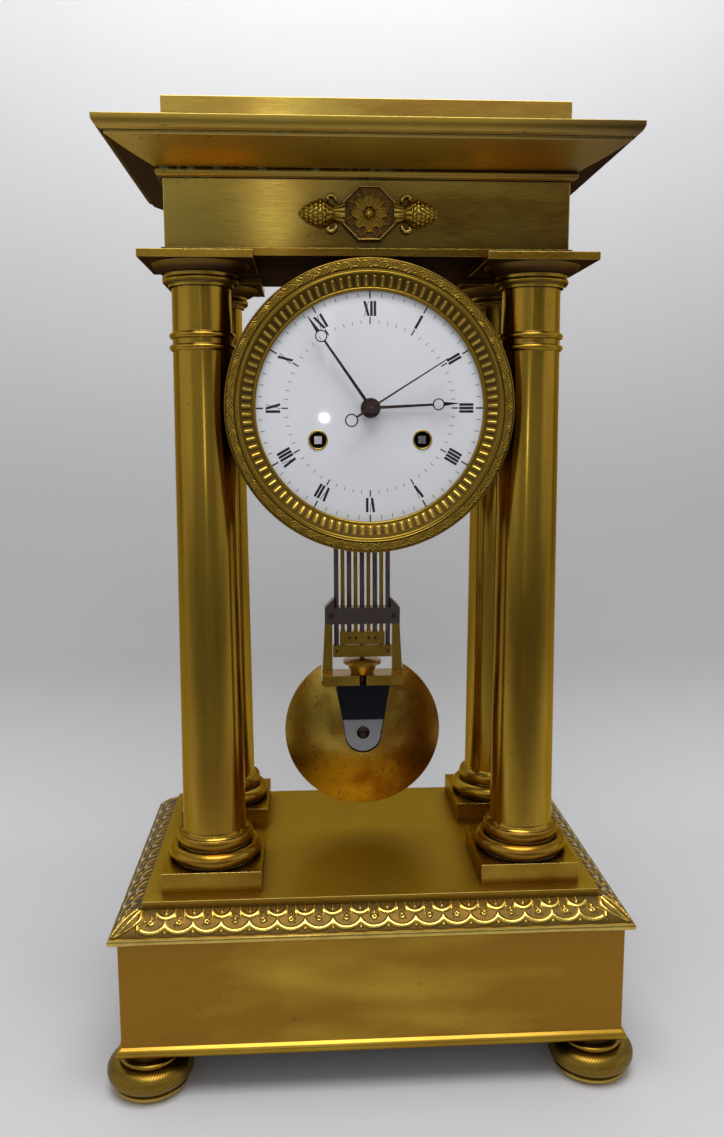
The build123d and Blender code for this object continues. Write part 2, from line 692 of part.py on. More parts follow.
def column_base(x, y):
    """Square plinth, torus and fillet."""
    half = PLINTH_SIDE / 2
    z0 = Z_PLINTH + PLINTH_H
    z1 = z0 + TORUS_H
    rise = TORUS_H * 0.12
    neck = BASE_FILLET_R - 2 * BASE_FILLET_ROUND
    profile = [
        (0, z0), (TORUS_R - TORUS_H / 4, z0),
        (TORUS_R - TORUS_H / 3, z1 - rise, TORUS_R, z0 + TORUS_H * 0.45),
        (neck, z1 - rise), (neck, z1), (BASE_FILLET_R - BASE_FILLET_ROUND, z1),
        (BASE_FILLET_R - BASE_FILLET_ROUND, Z_SHAFT, BASE_FILLET_R, (z1 + Z_SHAFT) / 2), (0, Z_SHAFT),
    ]
    solid = block(x - half, x + half, y - half, y + half, Z_PLINTH, z0) + turned_up(profile, x, y)
    return solid - tie_bore(Z_PLINTH, Z_SHAFT, x, y)


def column_shaft(x, y):
    """Tapered tube with an apophyge at the foot and a double astragal below the neck."""
    def radius(z):
        return SHAFT_R_LOW + (SHAFT_R_HIGH - SHAFT_R_LOW) * (z - Z_SHAFT) / SHAFT_H
    flare = ASTRAGAL_OUT
    profile = [(SHAFT_BORE_R, Z_SHAFT), (SHAFT_R_LOW + flare, Z_SHAFT),
               (radius(Z_SHAFT + 2 * flare), Z_SHAFT + 2 * flare,
                SHAFT_R_LOW + flare * 0.25, Z_SHAFT + flare * 0.75)]
    top_ring = Z_CAPITAL - ASTRAGAL_DROP
    for level in (top_ring - ASTRAGAL_PITCH, top_ring):
        low, high = level - ASTRAGAL_H / 2, level + ASTRAGAL_H / 2
        profile += [(radius(low), low), (radius(high), high, radius(level) + ASTRAGAL_OUT, level)]
    profile += [(SHAFT_R_HIGH, Z_CAPITAL), (SHAFT_BORE_R, Z_CAPITAL)]
    return turned_up(profile, x, y)


def column_capital(x, y):
    """Annulets, echinus and square abacus."""
    half = ABACUS_SIDE / 2
    z1 = Z_CAPITAL + ANNULET_H
    z2 = z1 + ECHINUS_H
    step = (ANNULET_R - SHAFT_R_HIGH) / 2
    fillet = ANNULET_H / 4
    profile = [
        (0, Z_CAPITAL), (SHAFT_R_HIGH + step, Z_CAPITAL), (SHAFT_R_HIGH + step, Z_CAPITAL + fillet),
        (ANNULET_R, Z_CAPITAL + fillet),
        (ANNULET_R, Z_CAPITAL + 3 * fillet, ANNULET_R + step / 2, Z_CAPITAL + 2 * fillet),
        (ANNULET_R, z1), (ECHINUS_R, z2, (ANNULET_R + 2 * ECHINUS_R) / 3, z1 + ECHINUS_H * 0.40), (0, z2),
    ]
    solid = turned_up(profile, x, y) + block(x - half, x + half, y - half, y + half, z2, Z_SOFFIT)
    return solid - tie_bore(Z_CAPITAL, Z_SOFFIT, x, y)


def column_tie_rods():
    """Long rods through the columns, with hexagon nuts under the slab and on the soffit."""
    solids = []
    for _, x, y in COLUMNS:
        low, high = Z_SLAB - TIE_NUT_H - TIE_ROD_END, Z_FRIEZE + TIE_NUT_H + TIE_ROD_END
        solids.append(rod_z(TIE_ROD_R, low, high, x, y))
        for z in (Z_SLAB - TIE_NUT_H, Z_FRIEZE):
            nut = extrude(RegularPolygon(TIE_NUT_R, 6) - Circle(TIE_ROD_R + PRESS_GAP), amount=TIE_NUT_H)
            solids.append(Pos(x, y, z) * nut)
    return solids


HANGER_SLOT_X = HANGER_W / 2 + HANGER_SLOT_FIT
HANGER_SLOT_Y = HANGER_T / 2 + HANGER_SLOT_FIT


def soffit_plate():
    """Plate over the capitals, with a slot for the pendulum's hanger."""
    plate = block(-SOFFIT_HALF_X, SOFFIT_HALF_X, -SOFFIT_HALF_Y, SOFFIT_HALF_Y, Z_SOFFIT, Z_FRIEZE)
    for _, x, y in COLUMNS:
        plate -= tie_bore(Z_SOFFIT, Z_FRIEZE, x, y)
    slot = block(-HANGER_SLOT_X, HANGER_SLOT_X, Y_PEND - HANGER_SLOT_Y, Y_PEND + HANGER_SLOT_Y,
                 Z_SOFFIT - RUN_FIT, Z_FRIEZE + RUN_FIT)
    return plate - slot


def frieze_box():
    inner_x, inner_y = FRIEZE_HALF_X - FRIEZE_WALL, FRIEZE_HALF_Y - FRIEZE_WALL
    return mitre_wedges(FRIEZE_HALF_X, FRIEZE_HALF_Y, inner_x, inner_y, Z_FRIEZE, Z_CORNICE)


def cornice():
    """Bead, cyma and fascia, in four mitred lengths."""
    z1 = Z_CORNICE + CORNICE_BEAD_H
    z2 = z1 + CORNICE_CYMA_H
    z3 = z2 + CORNICE_GROOVE_H
    run = CORNICE_BEAD_OUT + CORNICE_CYMA_RUN
    bead_in = CORNICE_BEAD_OUT * 0.4
    turn = (CORNICE_BEAD_OUT + CORNICE_CYMA_RUN * 0.5, z1 + CORNICE_CYMA_H * 0.5)
    low = (CORNICE_BEAD_OUT + CORNICE_CYMA_RUN * 0.16, z1 + CORNICE_CYMA_H * 0.34)
    high = (CORNICE_BEAD_OUT + CORNICE_CYMA_RUN * 0.84, z1 + CORNICE_CYMA_H * 0.66)
    groove = CORNICE_GROOVE_H
    fascia = run + CORNICE_FASCIA_RUN
    mid = (run + groove + (CORNICE_FASCIA_RUN - groove) * 0.75, z3 + CORNICE_FASCIA_H * 0.35)
    profile = [
        (0, Z_CORNICE), (bead_in, Z_CORNICE),
        (bead_in, z1, CORNICE_BEAD_OUT, (Z_CORNICE + z1) / 2), (CORNICE_BEAD_OUT, z1),
        (*turn, *low), (run, z2, *high), (run, z3), (run + groove, z3),
        (fascia, z3 + CORNICE_FASCIA_H * 0.7, *mid), (fascia, Z_ATTIC),
    ]
    return mitred_frame(FRIEZE_HALF_X, FRIEZE_HALF_Y, profile, CORNICE_SEAT)


def attic_block():
    """Hollow block on top of the cornice, closed above."""
    x, y = FRIEZE_HALF_X, FRIEZE_HALF_Y
    inner_x, inner_y = x - ATTIC_WALL, y - ATTIC_WALL
    inner = block(-inner_x, inner_x, -inner_y, inner_y, Z_ATTIC - RUN_FIT, Z_TOP - ATTIC_WALL)
    return block(-x, x, -y, y, Z_ATTIC, Z_TOP) - inner


def frieze_ornament():
    """Octagonal rosette with a flower, between two collars with pine cones."""
    face = -FRIEZE_HALF_Y
    zc = (Z_FRIEZE + Z_CORNICE) / 2
    corner = OCTAGON_FLATS / 2 / math.cos(math.pi / 8)
    plate = along_y(RegularPolygon(corner, 8, rotation=22.5), face - OCTAGON_T, face, 0, zc)
    inner = RegularPolygon(corner - OCTAGON_RIM_W / math.cos(math.pi / 8), 8, rotation=22.5)
    rim = RegularPolygon(corner, 8, rotation=22.5) - inner
    plate += along_y(rim, face - OCTAGON_T - OCTAGON_RIM_T, face - OCTAGON_T, 0, zc)
    for petal in range(PETAL_COUNT):
        angle = petal * 360 / PETAL_COUNT
        leaf = Pos(FLOWER_EYE_R * 0.6 + PETAL_L / 2, 0) * Ellipse(PETAL_L / 2, PETAL_W / 2)
        plate += along_y(leaf, face - OCTAGON_T - PETAL_T, face - OCTAGON_T, 0, zc, angle)
    eye = Pos(0, face - OCTAGON_T - PETAL_T, zc) * Sphere(FLOWER_EYE_R)
    plate += eye
    solids = [plate]
    keep = block(-FRIEZE_HALF_X, FRIEZE_HALF_X, face - FRIEZE_H, face, Z_FRIEZE, Z_CORNICE)
    x0 = OCTAGON_FLATS / 2
    for side in (-1, 1):
        turn = [
            (0, x0), (COLLAR_R, x0), (COLLAR_R, x0 + COLLAR_L * 0.6, COLLAR_R * 0.75, x0 + COLLAR_L * 0.3),
            (CONE_R, x0 + COLLAR_L, CONE_R * 0.92, x0 + COLLAR_L * 0.75),
            (0, x0 + COLLAR_L + CONE_L, CONE_R * 0.74, x0 + COLLAR_L + CONE_L * 0.55),
        ]
        cone = revolve(path_face(turn, lambda u, v: (side * v, u, 0)), axis=Axis.X)
        arm = Pos(0, face + ORNAMENT_BURY, zc) * cone
        for up in (-1, 1):
            x = side * (x0 + COLLAR_L * 0.55)
            arm += rod_y(SCROLL_R, face - OCTAGON_T, face, x, zc + up * (COLLAR_R + SCROLL_R * 0.7))
        solids.append(arm & keep)
    return solids


# Drum, bezel and dial

def movement_drum():
    """Open-backed drum; its front lip holds the front plate."""
    inner = DRUM_R - DRUM_WALL
    tube = along_y(Circle(DRUM_R) - Circle(inner), Y_BEZEL, Y_DRUM_END, 0, Z_DIAL)
    lip = along_y(Circle(inner) - Circle(inner - DRUM_LIP), Y_BEZEL, Y_PLATE, 0, Z_DIAL)
    return tube + lip


def drum_saddle():
    """Block that fixes the drum under the soffit."""
    y0 = Y_PLATE + SADDLE_SETBACK
    body = block(-SADDLE_W / 2, SADDLE_W / 2, y0, y0 + SADDLE_L, Z_DIAL, Z_SOFFIT)
    return body - rod_y(DRUM_R, y0 - RUN_FIT, y0 + SADDLE_L + RUN_FIT, 0, Z_DIAL)


DIAL_SIGHT_R = BEZEL_R - BEZEL_BORDER_W - BEZEL_FILLET_W - BEZEL_COVE_W - BEZEL_LIP_W
DIAL_R = DIAL_SIGHT_R + DIAL_SEAT


def bezel():
    """Rounded border, fillet, hollow and inner bead."""
    front = Y_BEZEL - BEZEL_H
    r1 = BEZEL_R - BEZEL_BORDER_W
    r2 = r1 - BEZEL_FILLET_W
    r3 = r2 - BEZEL_COVE_W
    bottom = front + BEZEL_COVE_DROP
    seat = dial_front_y(DIAL_SIGHT_R) - 2 * RUN_FIT
    profile = [
        (DIAL_R + DIAL_FIT, Y_BEZEL), (BEZEL_R, Y_BEZEL), (BEZEL_R, Y_BEZEL - BEZEL_RIM_T),
        (r1, front + BEZEL_STEP, BEZEL_R - BEZEL_BORDER_W * 0.22, front + BEZEL_COVE_DROP * 0.62),
        (r1, front), (r2, front), (r2, front + BEZEL_STEP),
        (r3, bottom, r2 - BEZEL_COVE_W * 0.62, front + BEZEL_COVE_DROP * 0.45),
        (r3, bottom - BEZEL_STEP),
        (DIAL_SIGHT_R, bottom + BEZEL_STEP / 2, (r3 + DIAL_SIGHT_R) / 2, bottom - BEZEL_LIP_RISE),
        (DIAL_SIGHT_R, seat), (DIAL_R + DIAL_FIT, seat),
    ]
    return turned_back(profile, 0, Z_DIAL)


def dial_front_y(radius):
    """Front of the domed dial at a radius."""
    return Y_DIAL_EDGE - DIAL_RISE * (1 - (radius / DIAL_R) ** 2)


def dial():
    """Domed enamel dial with winding holes and three feet."""
    half = DIAL_R / 2
    profile = [
        (0, Y_DIAL_MID), (DIAL_R, Y_DIAL_EDGE, half, dial_front_y(half)), (DIAL_R, Y_DIAL_EDGE + DIAL_T),
        (0, Y_DIAL_MID + DIAL_T, half, dial_front_y(half) + DIAL_T),
    ]
    solid = turned_back(profile, 0, Z_DIAL)
    for angle in DIAL_FOOT_ANGLES:
        u, w = polar(DIAL_FOOT_AT, angle)
        solid += rod_y(DIAL_FOOT_R, dial_front_y(DIAL_FOOT_AT) + DIAL_T / 2, Y_PLATE, u, Z_DIAL + w)
    solid -= rod_y(DIAL_HOLE_R, Y_DIAL_MID - DIAL_T, Y_PLATE, 0, Z_DIAL)
    for x, z in (at(GOING_AT), at(STRIKE_AT)):
        solid -= rod_y(WINDING_HOLE_R, Y_DIAL_MID - DIAL_T, Y_PLATE, x, z)
    return solid


# Movement frame

CROSSING_ARBORS = (
    (INTER_AT, ARBOR_R), (THIRD_AT, ARBOR_R), (PALLET_AT, ARBOR_R), (SECOND_AT, ARBOR_R),
    (PIN_AT, ARBOR_R), (FLY_AT, ARBOR_R), (HAMMER_AT, HAMMER_ARBOR_R),
)


def front_plate():
    """Front plate with the centre bush, the minute wheel's stud and the two clicks."""
    plate = rod_y(PLATE_R, Y_PLATE, Y_PLATE_IN, 0, Z_DIAL)
    plate += rod_y(CENTRE_BUSH_R, Y_PLATE_IN, Y_PLATE_IN + CENTRE_BUSH_L, 0, Z_DIAL)
    plate -= rod_y(CENTRE_PIPE_R + RUN_FIT, Y_PLATE - RUN_FIT, Y_PLATE_IN + CENTRE_BUSH_L + RUN_FIT, 0, Z_DIAL)
    for point, radius in CROSSING_ARBORS:
        plate -= rod_y(radius + RUN_FIT, Y_PLATE - RUN_FIT, Y_PLATE_IN + RUN_FIT, *at(point))
    for point in (GOING_AT, STRIKE_AT):
        plate -= rod_y(BARREL_ARBOR_R + RUN_FIT, Y_PLATE - RUN_FIT, Y_PLATE_IN + RUN_FIT, *at(point))
    stud_end = Y_MINUTE_PINION - MOTION_CLEAR / 2
    plate += rod_y(MOTION_STUD_R, stud_end, Y_PLATE, *at(MINUTE_AT))
    solids = [plate]
    for side, point in ((1, GOING_AT), (-1, STRIKE_AT)):
        x, z = at(point)
        nose = RATCHET_R + CLICK_GAP
        lever = SlotCenterToCenter(CLICK_L - CLICK_W, CLICK_W)
        solids.append(along_y(Pos(side * (nose + CLICK_W / 2), CLICK_L / 2 - CLICK_W) * (Rot(0, 0, 90) * lever),
                              Y_PLATE - CLICK_T, Y_PLATE, x, z))
    return solids


def back_plate():
    plate = rod_y(BACK_R, Y_BACK, Y_BACK_OUT, 0, Z_DIAL)
    for point, radius in CROSSING_ARBORS:
        plate -= rod_y(radius + RUN_FIT, Y_BACK - RUN_FIT, Y_BACK_OUT + RUN_FIT, *at(point))
    for point in (GOING_AT, STRIKE_AT):
        plate -= rod_y(BARREL_PIVOT_R + RUN_FIT, Y_BACK - RUN_FIT, Y_BACK_OUT + RUN_FIT, *at(point))
    return plate - rod_y(ESCAPE_ARBOR_R + RUN_FIT, Y_BACK - RUN_FIT, Y_BACK_OUT + RUN_FIT, 0, Z_DIAL)


def movement_pillars():
    """Turned pillars between the plates."""
    middle = (Y_PLATE_IN + Y_BACK) / 2
    end = PILLAR_R * 2
    profile = [
        (0, Y_PLATE_IN), (PILLAR_R, Y_PLATE_IN), (PILLAR_R, Y_PLATE_IN + end),
        (PILLAR_WAIST_R, Y_PLATE_IN + end + PILLAR_R), (PILLAR_R, middle - PILLAR_R),
        (PILLAR_R, middle + PILLAR_R), (PILLAR_WAIST_R, Y_BACK - end - PILLAR_R), (PILLAR_R, Y_BACK - end),
        (PILLAR_R, Y_BACK), (0, Y_BACK),
    ]
    solids = []
    for angle in PILLAR_ANGLES:
        solids.append(turned_back(profile, *at(polar(BACK_R - PILLAR_EDGE, angle))))
    return solids


# Going train

def barrel(point):
    """Spring barrel with its cap and toothed great wheel."""
    r_drum = GREAT_R - WHEEL_DEDENDUM * GREAT_MODULE - BARREL_STEP
    x, z = at(point)
    solid = rod_y(r_drum, Y_BARREL + BARREL_CAP_T, Y_GREAT, x, z)
    solid += rod_y(r_drum - BARREL_STEP, Y_BARREL, Y_BARREL + BARREL_CAP_T, x, z)
    y_end = Y_GREAT + GREAT_WHEEL_T
    solid += along_y(wheel_sketch(GREAT_TEETH, GREAT_MODULE, GREAT_PHASE), Y_GREAT, y_end, x, z)
    return solid - rod_y(BARREL_ARBOR_R + RUN_FIT, Y_BARREL - RUN_FIT, y_end + RUN_FIT, x, z)


def winding_arbor(point):
    """Barrel arbor with its winding square and ratchet wheel."""
    x, z = at(point)
    reach = math.hypot(*point)
    square_end = dial_front_y(reach) + WINDING_RECESS
    solid = rod_y(BARREL_ARBOR_R, Y_PLATE - RATCHET_T, Y_BACK - PIVOT_END, x, z)
    solid += rod_y(BARREL_PIVOT_R, Y_BACK - PIVOT_END, Y_BACK_OUT, x, z)
    solid += along_y(Rectangle(WINDING_SQUARE, WINDING_SQUARE), square_end, Y_PLATE - RATCHET_T, x, z)
    points = []
    for tooth in range(RATCHET_TEETH):
        points.append(polar(RATCHET_R, tooth * 360 / RATCHET_TEETH))
        points.append(polar(RATCHET_R - RATCHET_DEPTH, (tooth + 0.1) * 360 / RATCHET_TEETH))
    ratchet = along_y(outline(points), Y_PLATE - RATCHET_T - SLIDE_FIT, Y_PLATE - SLIDE_FIT, x, z)
    return solid + ratchet


def train_arbor(point, y_front=None, y_back=None):
    """Arbor between the plates, with both pivots in their holes."""
    front = Y_PLATE + PIVOT_END if y_front is None else y_front
    back = Y_BACK_OUT - PIVOT_END if y_back is None else y_back
    return rod_y(ARBOR_R, front, back, *at(point))


def intermediate(point, pinion_phase, wheel_phase, y_back=None):
    solid = train_arbor(point, None, y_back)
    y0, y1 = Y_GREAT - PINION_OVER, Y_GREAT + GREAT_WHEEL_T + PINION_OVER
    solid += along_y(leaf_sketch(INTER_LEAF_COUNT, GREAT_MODULE, pinion_phase), y0, y1, *at(point))
    solid += rod_y(HUB_R, y1, Y_INTER, *at(point))
    wheel = crossed_wheel(INTER_TEETH, INTER_MODULE, wheel_phase)
    return solid + along_y(wheel, Y_INTER, Y_INTER + INTER_T, *at(point))


def centre_wheel():
    """Centre wheel and pinion on the long pipe that carries the minute hand."""
    solid = rod_y(CENTRE_PIPE_R, Y_MINUTE_HAND - PIVOT_END, Y_CENTRE + CENTRE_T + CENTRE_PIPE_END, 0, Z_DIAL)
    y0, y1 = Y_INTER - PINION_OVER, Y_INTER + INTER_T + PINION_OVER
    solid += along_y(leaf_sketch(CENTRE_LEAF_COUNT, INTER_MODULE, CENTRE_PINION_PHASE), y0, y1, 0, Z_DIAL)
    solid += rod_y(HUB_R, y1, Y_CENTRE, 0, Z_DIAL)
    wheel = crossed_wheel(CENTRE_TEETH, CENTRE_MODULE, CENTRE_PHASE)
    solid += along_y(wheel, Y_CENTRE, Y_CENTRE + CENTRE_T, 0, Z_DIAL)
    bore_end = Y_CENTRE + CENTRE_T + CENTRE_PIPE_END + RUN_FIT
    return solid - rod_y(ESCAPE_ARBOR_R + RUN_FIT, Y_MINUTE_HAND - 2 * PIVOT_END, bore_end, 0, Z_DIAL)


def third_wheel():
    solid = train_arbor(THIRD_AT)
    y0, y1 = Y_CENTRE - PINION_OVER, Y_CENTRE + CENTRE_T + PINION_OVER
    solid += along_y(leaf_sketch(THIRD_LEAF_COUNT, CENTRE_MODULE, THIRD_PINION_PHASE), y0, y1, *at(THIRD_AT))
    hub = CENTRE_MODULE * (THIRD_LEAF_COUNT / 2 - LEAF_DEDENDUM)
    solid += rod_y(hub, y1, Y_THIRD, *at(THIRD_AT))
    wheel = crossed_wheel(THIRD_TEETH, THIRD_MODULE, THIRD_PHASE)
    return solid + along_y(wheel, Y_THIRD, Y_THIRD + THIRD_T, *at(THIRD_AT))


def escape_wheel():
    """Pin wheel of the escapement on the seconds arbor, which runs through the centre pipe."""
    solid = rod_y(ESCAPE_ARBOR_R, Y_SECONDS_HAND - PIVOT_END, Y_BACK_OUT - PIVOT_END, 0, Z_DIAL)
    y0, y1 = Y_THIRD - PINION_OVER, Y_THIRD + THIRD_T + PINION_OVER
    solid += along_y(leaf_sketch(ESCAPE_LEAF_COUNT, THIRD_MODULE, ESCAPE_PINION_PHASE), y0, y1, 0, Z_DIAL)
    hub = THIRD_MODULE * (ESCAPE_LEAF_COUNT / 2 - LEAF_DEDENDUM)
    solid += rod_y(hub, y1, Y_ESCAPE, 0, Z_DIAL)
    r_rim = ESCAPE_PIN_CIRCLE_R + ESCAPE_RIM
    disc = Circle(r_rim) - crossings(r_rim - WHEEL_RIM, HUB_R + PINION_OVER, SPOKE_W, SPOKES)
    solid += along_y(disc, Y_ESCAPE, Y_ESCAPE + ESCAPE_T, 0, Z_DIAL)
    pins = Sketch()
    for pin in range(ESCAPE_PIN_COUNT):
        pins += Pos(*polar(ESCAPE_PIN_CIRCLE_R, pin * 360 / ESCAPE_PIN_COUNT)) * Circle(ESCAPE_PIN_R)
    return solid + along_y(pins, Y_ESCAPE + ESCAPE_T, Y_ESCAPE + ESCAPE_T + ESCAPE_PIN_L, 0, Z_DIAL)


def pallets():
    """Anchor, arbor and crutch; the crutch's fork stands either side of the pendulum's middle rod."""
    y_crutch = Y_BACK_OUT + CRUTCH_SETBACK
    solid = train_arbor(PALLET_AT, None, y_crutch + CRUTCH_T)
    r_in = ESCAPE_PIN_CIRCLE_R + ESCAPE_RIM + PALLET_CLEAR
    r_out = r_in + PALLET_W
    half = PALLET_HALF_ANGLE
    left, right, top = UP_ANGLE + half, UP_ANGLE - half, UP_ANGLE
    anchor = path_face(
        [polar(r_in, right), polar(r_out, right), (*polar(r_out, left), *polar(r_out, top)), polar(r_in, left),
         (*polar(r_in, right), *polar(r_in, top))],
        lambda u, v: (u, v, 0))
    stem_low = r_in + PALLET_W / 2
    stem = Pos(0, (stem_low + PALLET_ARBOR_UP) / 2) * Rectangle(PALLET_STEM_W, PALLET_ARBOR_UP - stem_low)
    boss = Pos(0, PALLET_ARBOR_UP) * Circle(HUB_R)
    solid += along_y(Sketch() + anchor + stem + boss, Y_ESCAPE, Y_ESCAPE + ESCAPE_T, 0, Z_DIAL)
    x, z = at(PALLET_AT)
    arm = Pos(0, -CRUTCH_L / 2) * Rectangle(CRUTCH_W, CRUTCH_L) + Circle(HUB_R)
    solid += along_y(arm, y_crutch, y_crutch + CRUTCH_T, x, z)
    gap = STEEL_ROD_R + SLIDE_FIT
    wide = 2 * (gap + FORK_T)
    palm = Pos(0, -CRUTCH_L) * Rectangle(max(wide, CRUTCH_W), FORK_H)
    solid += along_y(palm, y_crutch, y_crutch + CRUTCH_T, x, z)
    for side in (-1, 1):
        prong = Pos(side * (gap + FORK_T / 2), -CRUTCH_L) * Rectangle(FORK_T, FORK_H)
        solid += along_y(prong, y_crutch, Y_PEND + STEEL_ROD_R, x, z)
    return solid


# Motion work behind the dial
Y_CANNON = Y_PLATE - MOTION_CLEAR - MOTION_T
Y_HOUR = Y_CANNON - MOTION_CLEAR - MOTION_T
Y_MINUTE_PINION = Y_HOUR - MOTION_CLEAR / 2

# Hands in front of the dial, one above the other
Y_HOUR_HAND = Y_DIAL_MID - HAND_GAP - HUB_T
Y_MINUTE_HAND = Y_HOUR_HAND - HAND_GAP - HUB_T
Y_SECONDS_HAND = Y_MINUTE_HAND - HAND_GAP - HUB_T


def cannon_pinion():
    """Cannon pinion, friction tight on the centre pipe."""
    solid = rod_y(CANNON_PIPE_R, Y_MINUTE_HAND, Y_CANNON + MOTION_T, 0, Z_DIAL)
    leaves = leaf_sketch(CANNON_TEETH, MOTION_MODULE, CANNON_PHASE)
    y_end = Y_CANNON + MOTION_T
    solid += along_y(leaves, Y_CANNON, y_end, 0, Z_DIAL)
    return solid - rod_y(CENTRE_PIPE_R + PRESS_GAP, Y_MINUTE_HAND - RUN_FIT, y_end + RUN_FIT, 0, Z_DIAL)


def minute_wheel():
    x, z = at(MINUTE_AT)
    y1 = Y_CANNON + MOTION_T
    solid = along_y(crossed_wheel(MINUTE_TEETH, MOTION_MODULE, MINUTE_PHASE), Y_CANNON, y1, x, z)
    leaves = leaf_sketch(MINUTE_LEAF_COUNT, HOUR_MODULE, MINUTE_PINION_PHASE)
    solid += along_y(leaves, Y_MINUTE_PINION, Y_CANNON, x, z)
    return solid - rod_y(MOTION_STUD_R + RUN_FIT, Y_MINUTE_PINION - RUN_FIT, y1 + RUN_FIT, x, z)


def hour_wheel():
    """Hour wheel on its pipe, which turns freely round the cannon pinion."""
    solid = along_y(wheel_sketch(HOUR_TEETH, HOUR_MODULE, HOUR_PHASE), Y_HOUR, Y_HOUR + MOTION_T, 0, Z_DIAL)
    solid += rod_y(HOUR_PIPE_R, Y_HOUR_HAND, Y_HOUR, 0, Z_DIAL)
    return solid - rod_y(CANNON_PIPE_R + RUN_FIT, Y_HOUR_HAND - RUN_FIT, Y_HOUR + MOTION_T + RUN_FIT, 0, Z_DIAL)


def hand(length, ring_at, hub_r, bore, y_front, degrees):
    """Tapered hand with a pierced ring near its tip, pointing at degrees clockwise from twelve."""
    blade = outline([
        (-HAND_ROOT_W / 2, 0), (-HAND_WAIST_W / 2, ring_at - HAND_RING_R),
        (-HAND_WAIST_W / 2, ring_at), (-HAND_POINT_W / 2, ring_at + HAND_RING_R),
        (-HAND_TIP_W / 2, length), (HAND_TIP_W / 2, length),
        (HAND_POINT_W / 2, ring_at + HAND_RING_R), (HAND_WAIST_W / 2, ring_at),
        (HAND_WAIST_W / 2, ring_at - HAND_RING_R), (HAND_ROOT_W / 2, 0),
    ])
    shape = blade + Pos(0, ring_at) * Circle(HAND_RING_R) - Pos(0, ring_at) * Circle(HAND_RING_BORE)
    solid = along_y(shape, y_front, y_front + HAND_T, 0, Z_DIAL, -degrees)
    solid += rod_y(hub_r, y_front, y_front + HUB_T, 0, Z_DIAL)
    return solid - rod_y(bore + PRESS_GAP, y_front - RUN_FIT, y_front + HUB_T + RUN_FIT, 0, Z_DIAL)


MINUTES = MINUTE_COUNT + SECOND_COUNT / 60
HOUR_ANGLE = (HOUR_COUNT + MINUTES / 60) * 30
MINUTE_ANGLE = MINUTES * 6
SECOND_ANGLE = SECOND_COUNT * 6


def seconds_hand():
    shape = outline([
        (-SECONDS_W / 2, -SECONDS_RING_AT), (-SECONDS_TIP_W / 2, SECONDS_HAND_L),
        (SECONDS_TIP_W / 2, SECONDS_HAND_L), (SECONDS_W / 2, -SECONDS_RING_AT),
    ])
    shape += Pos(0, -SECONDS_RING_AT) * Circle(SECONDS_RING_R)
    shape -= Pos(0, -SECONDS_RING_AT) * Circle(SECONDS_RING_BORE)
    solid = along_y(shape, Y_SECONDS_HAND, Y_SECONDS_HAND + HAND_T, 0, Z_DIAL, -SECOND_ANGLE)
    solid += rod_y(SECONDS_HUB_R, Y_SECONDS_HAND, Y_SECONDS_HAND + HUB_T, 0, Z_DIAL)
    bore_end = Y_SECONDS_HAND + HUB_T + RUN_FIT
    return solid - rod_y(ESCAPE_ARBOR_R + PRESS_GAP, Y_SECONDS_HAND - RUN_FIT, bore_end, 0, Z_DIAL)


# Strike work

def count_wheel():
    """Locking plate outside the back plate, with a notch after each number of blows."""
    blows = 0
    total = sum(range(1, 13)) + 12
    disc = Circle(COUNT_WHEEL_R) - Circle(ARBOR_R + PRESS_GAP)
    for hour in range(1, 13):
        blows += hour + 1
        notch = Pos(COUNT_WHEEL_R, 0) * Rectangle(2 * COUNT_NOTCH_DEPTH, COUNT_NOTCH_W)
        disc -= Rot(0, 0, blows * 360 / total) * notch
    disc -= crossings(COUNT_WHEEL_R - COUNT_NOTCH_DEPTH - WHEEL_RIM, HUB_R + PINION_OVER, SPOKE_W, SPOKES)
    y0 = Y_BACK_OUT + COUNT_SETBACK
    return along_y(disc, y0, y0 + COUNT_WHEEL_T, *at(SECOND_AT))


def pin_wheel():
    """Pin wheel that lifts the hammer."""
    solid = train_arbor(PIN_AT)
    y0, y1 = Y_INTER - PINION_OVER, Y_INTER + INTER_T + PINION_OVER
    solid += along_y(leaf_sketch(PIN_WHEEL_LEAF_COUNT, INTER_MODULE, PIN_PINION_PHASE), y0, y1, *at(PIN_AT))
    solid += rod_y(INTER_MODULE * (PIN_WHEEL_LEAF_COUNT / 2 - LEAF_DEDENDUM), y1, Y_CENTRE, *at(PIN_AT))
    teeth = wheel_sketch(PIN_WHEEL_TEETH, PIN_WHEEL_MODULE, PIN_PHASE)
    solid += along_y(teeth, Y_CENTRE, Y_CENTRE + CENTRE_T, *at(PIN_AT))
    pins = Sketch()
    for pin in range(PIN_COUNT):
        pins += Pos(*polar(PIN_CIRCLE_R, pin * 360 / PIN_COUNT)) * Circle(PIN_R)
    return solid + along_y(pins, Y_CENTRE + CENTRE_T, Y_CENTRE + CENTRE_T + PIN_L, *at(PIN_AT))


def fly():
    """Air brake: a thin vane on its pinion."""
    x, z = at(FLY_AT)
    solid = train_arbor(FLY_AT)
    y0, y1 = Y_CENTRE - PINION_OVER, Y_CENTRE + CENTRE_T + PINION_OVER
    solid += along_y(leaf_sketch(FLY_LEAF_COUNT, PIN_WHEEL_MODULE, FLY_PINION_PHASE), y0, y1, x, z)
    vane = Rectangle(2 * FLY_REACH, FLY_T) + Circle(FLY_HUB_R)
    return solid + along_y(vane, Y_BARREL, Y_BARREL + FLY_L, x, z, FLY_ANGLE)


Y_BELL_BAR = Y_PEND + BAR_T / 2 + BELL_BAR_GAP
Y_BELL = Y_BELL_BAR + BELL_BAR_T + BELL_MOUTH_GAP


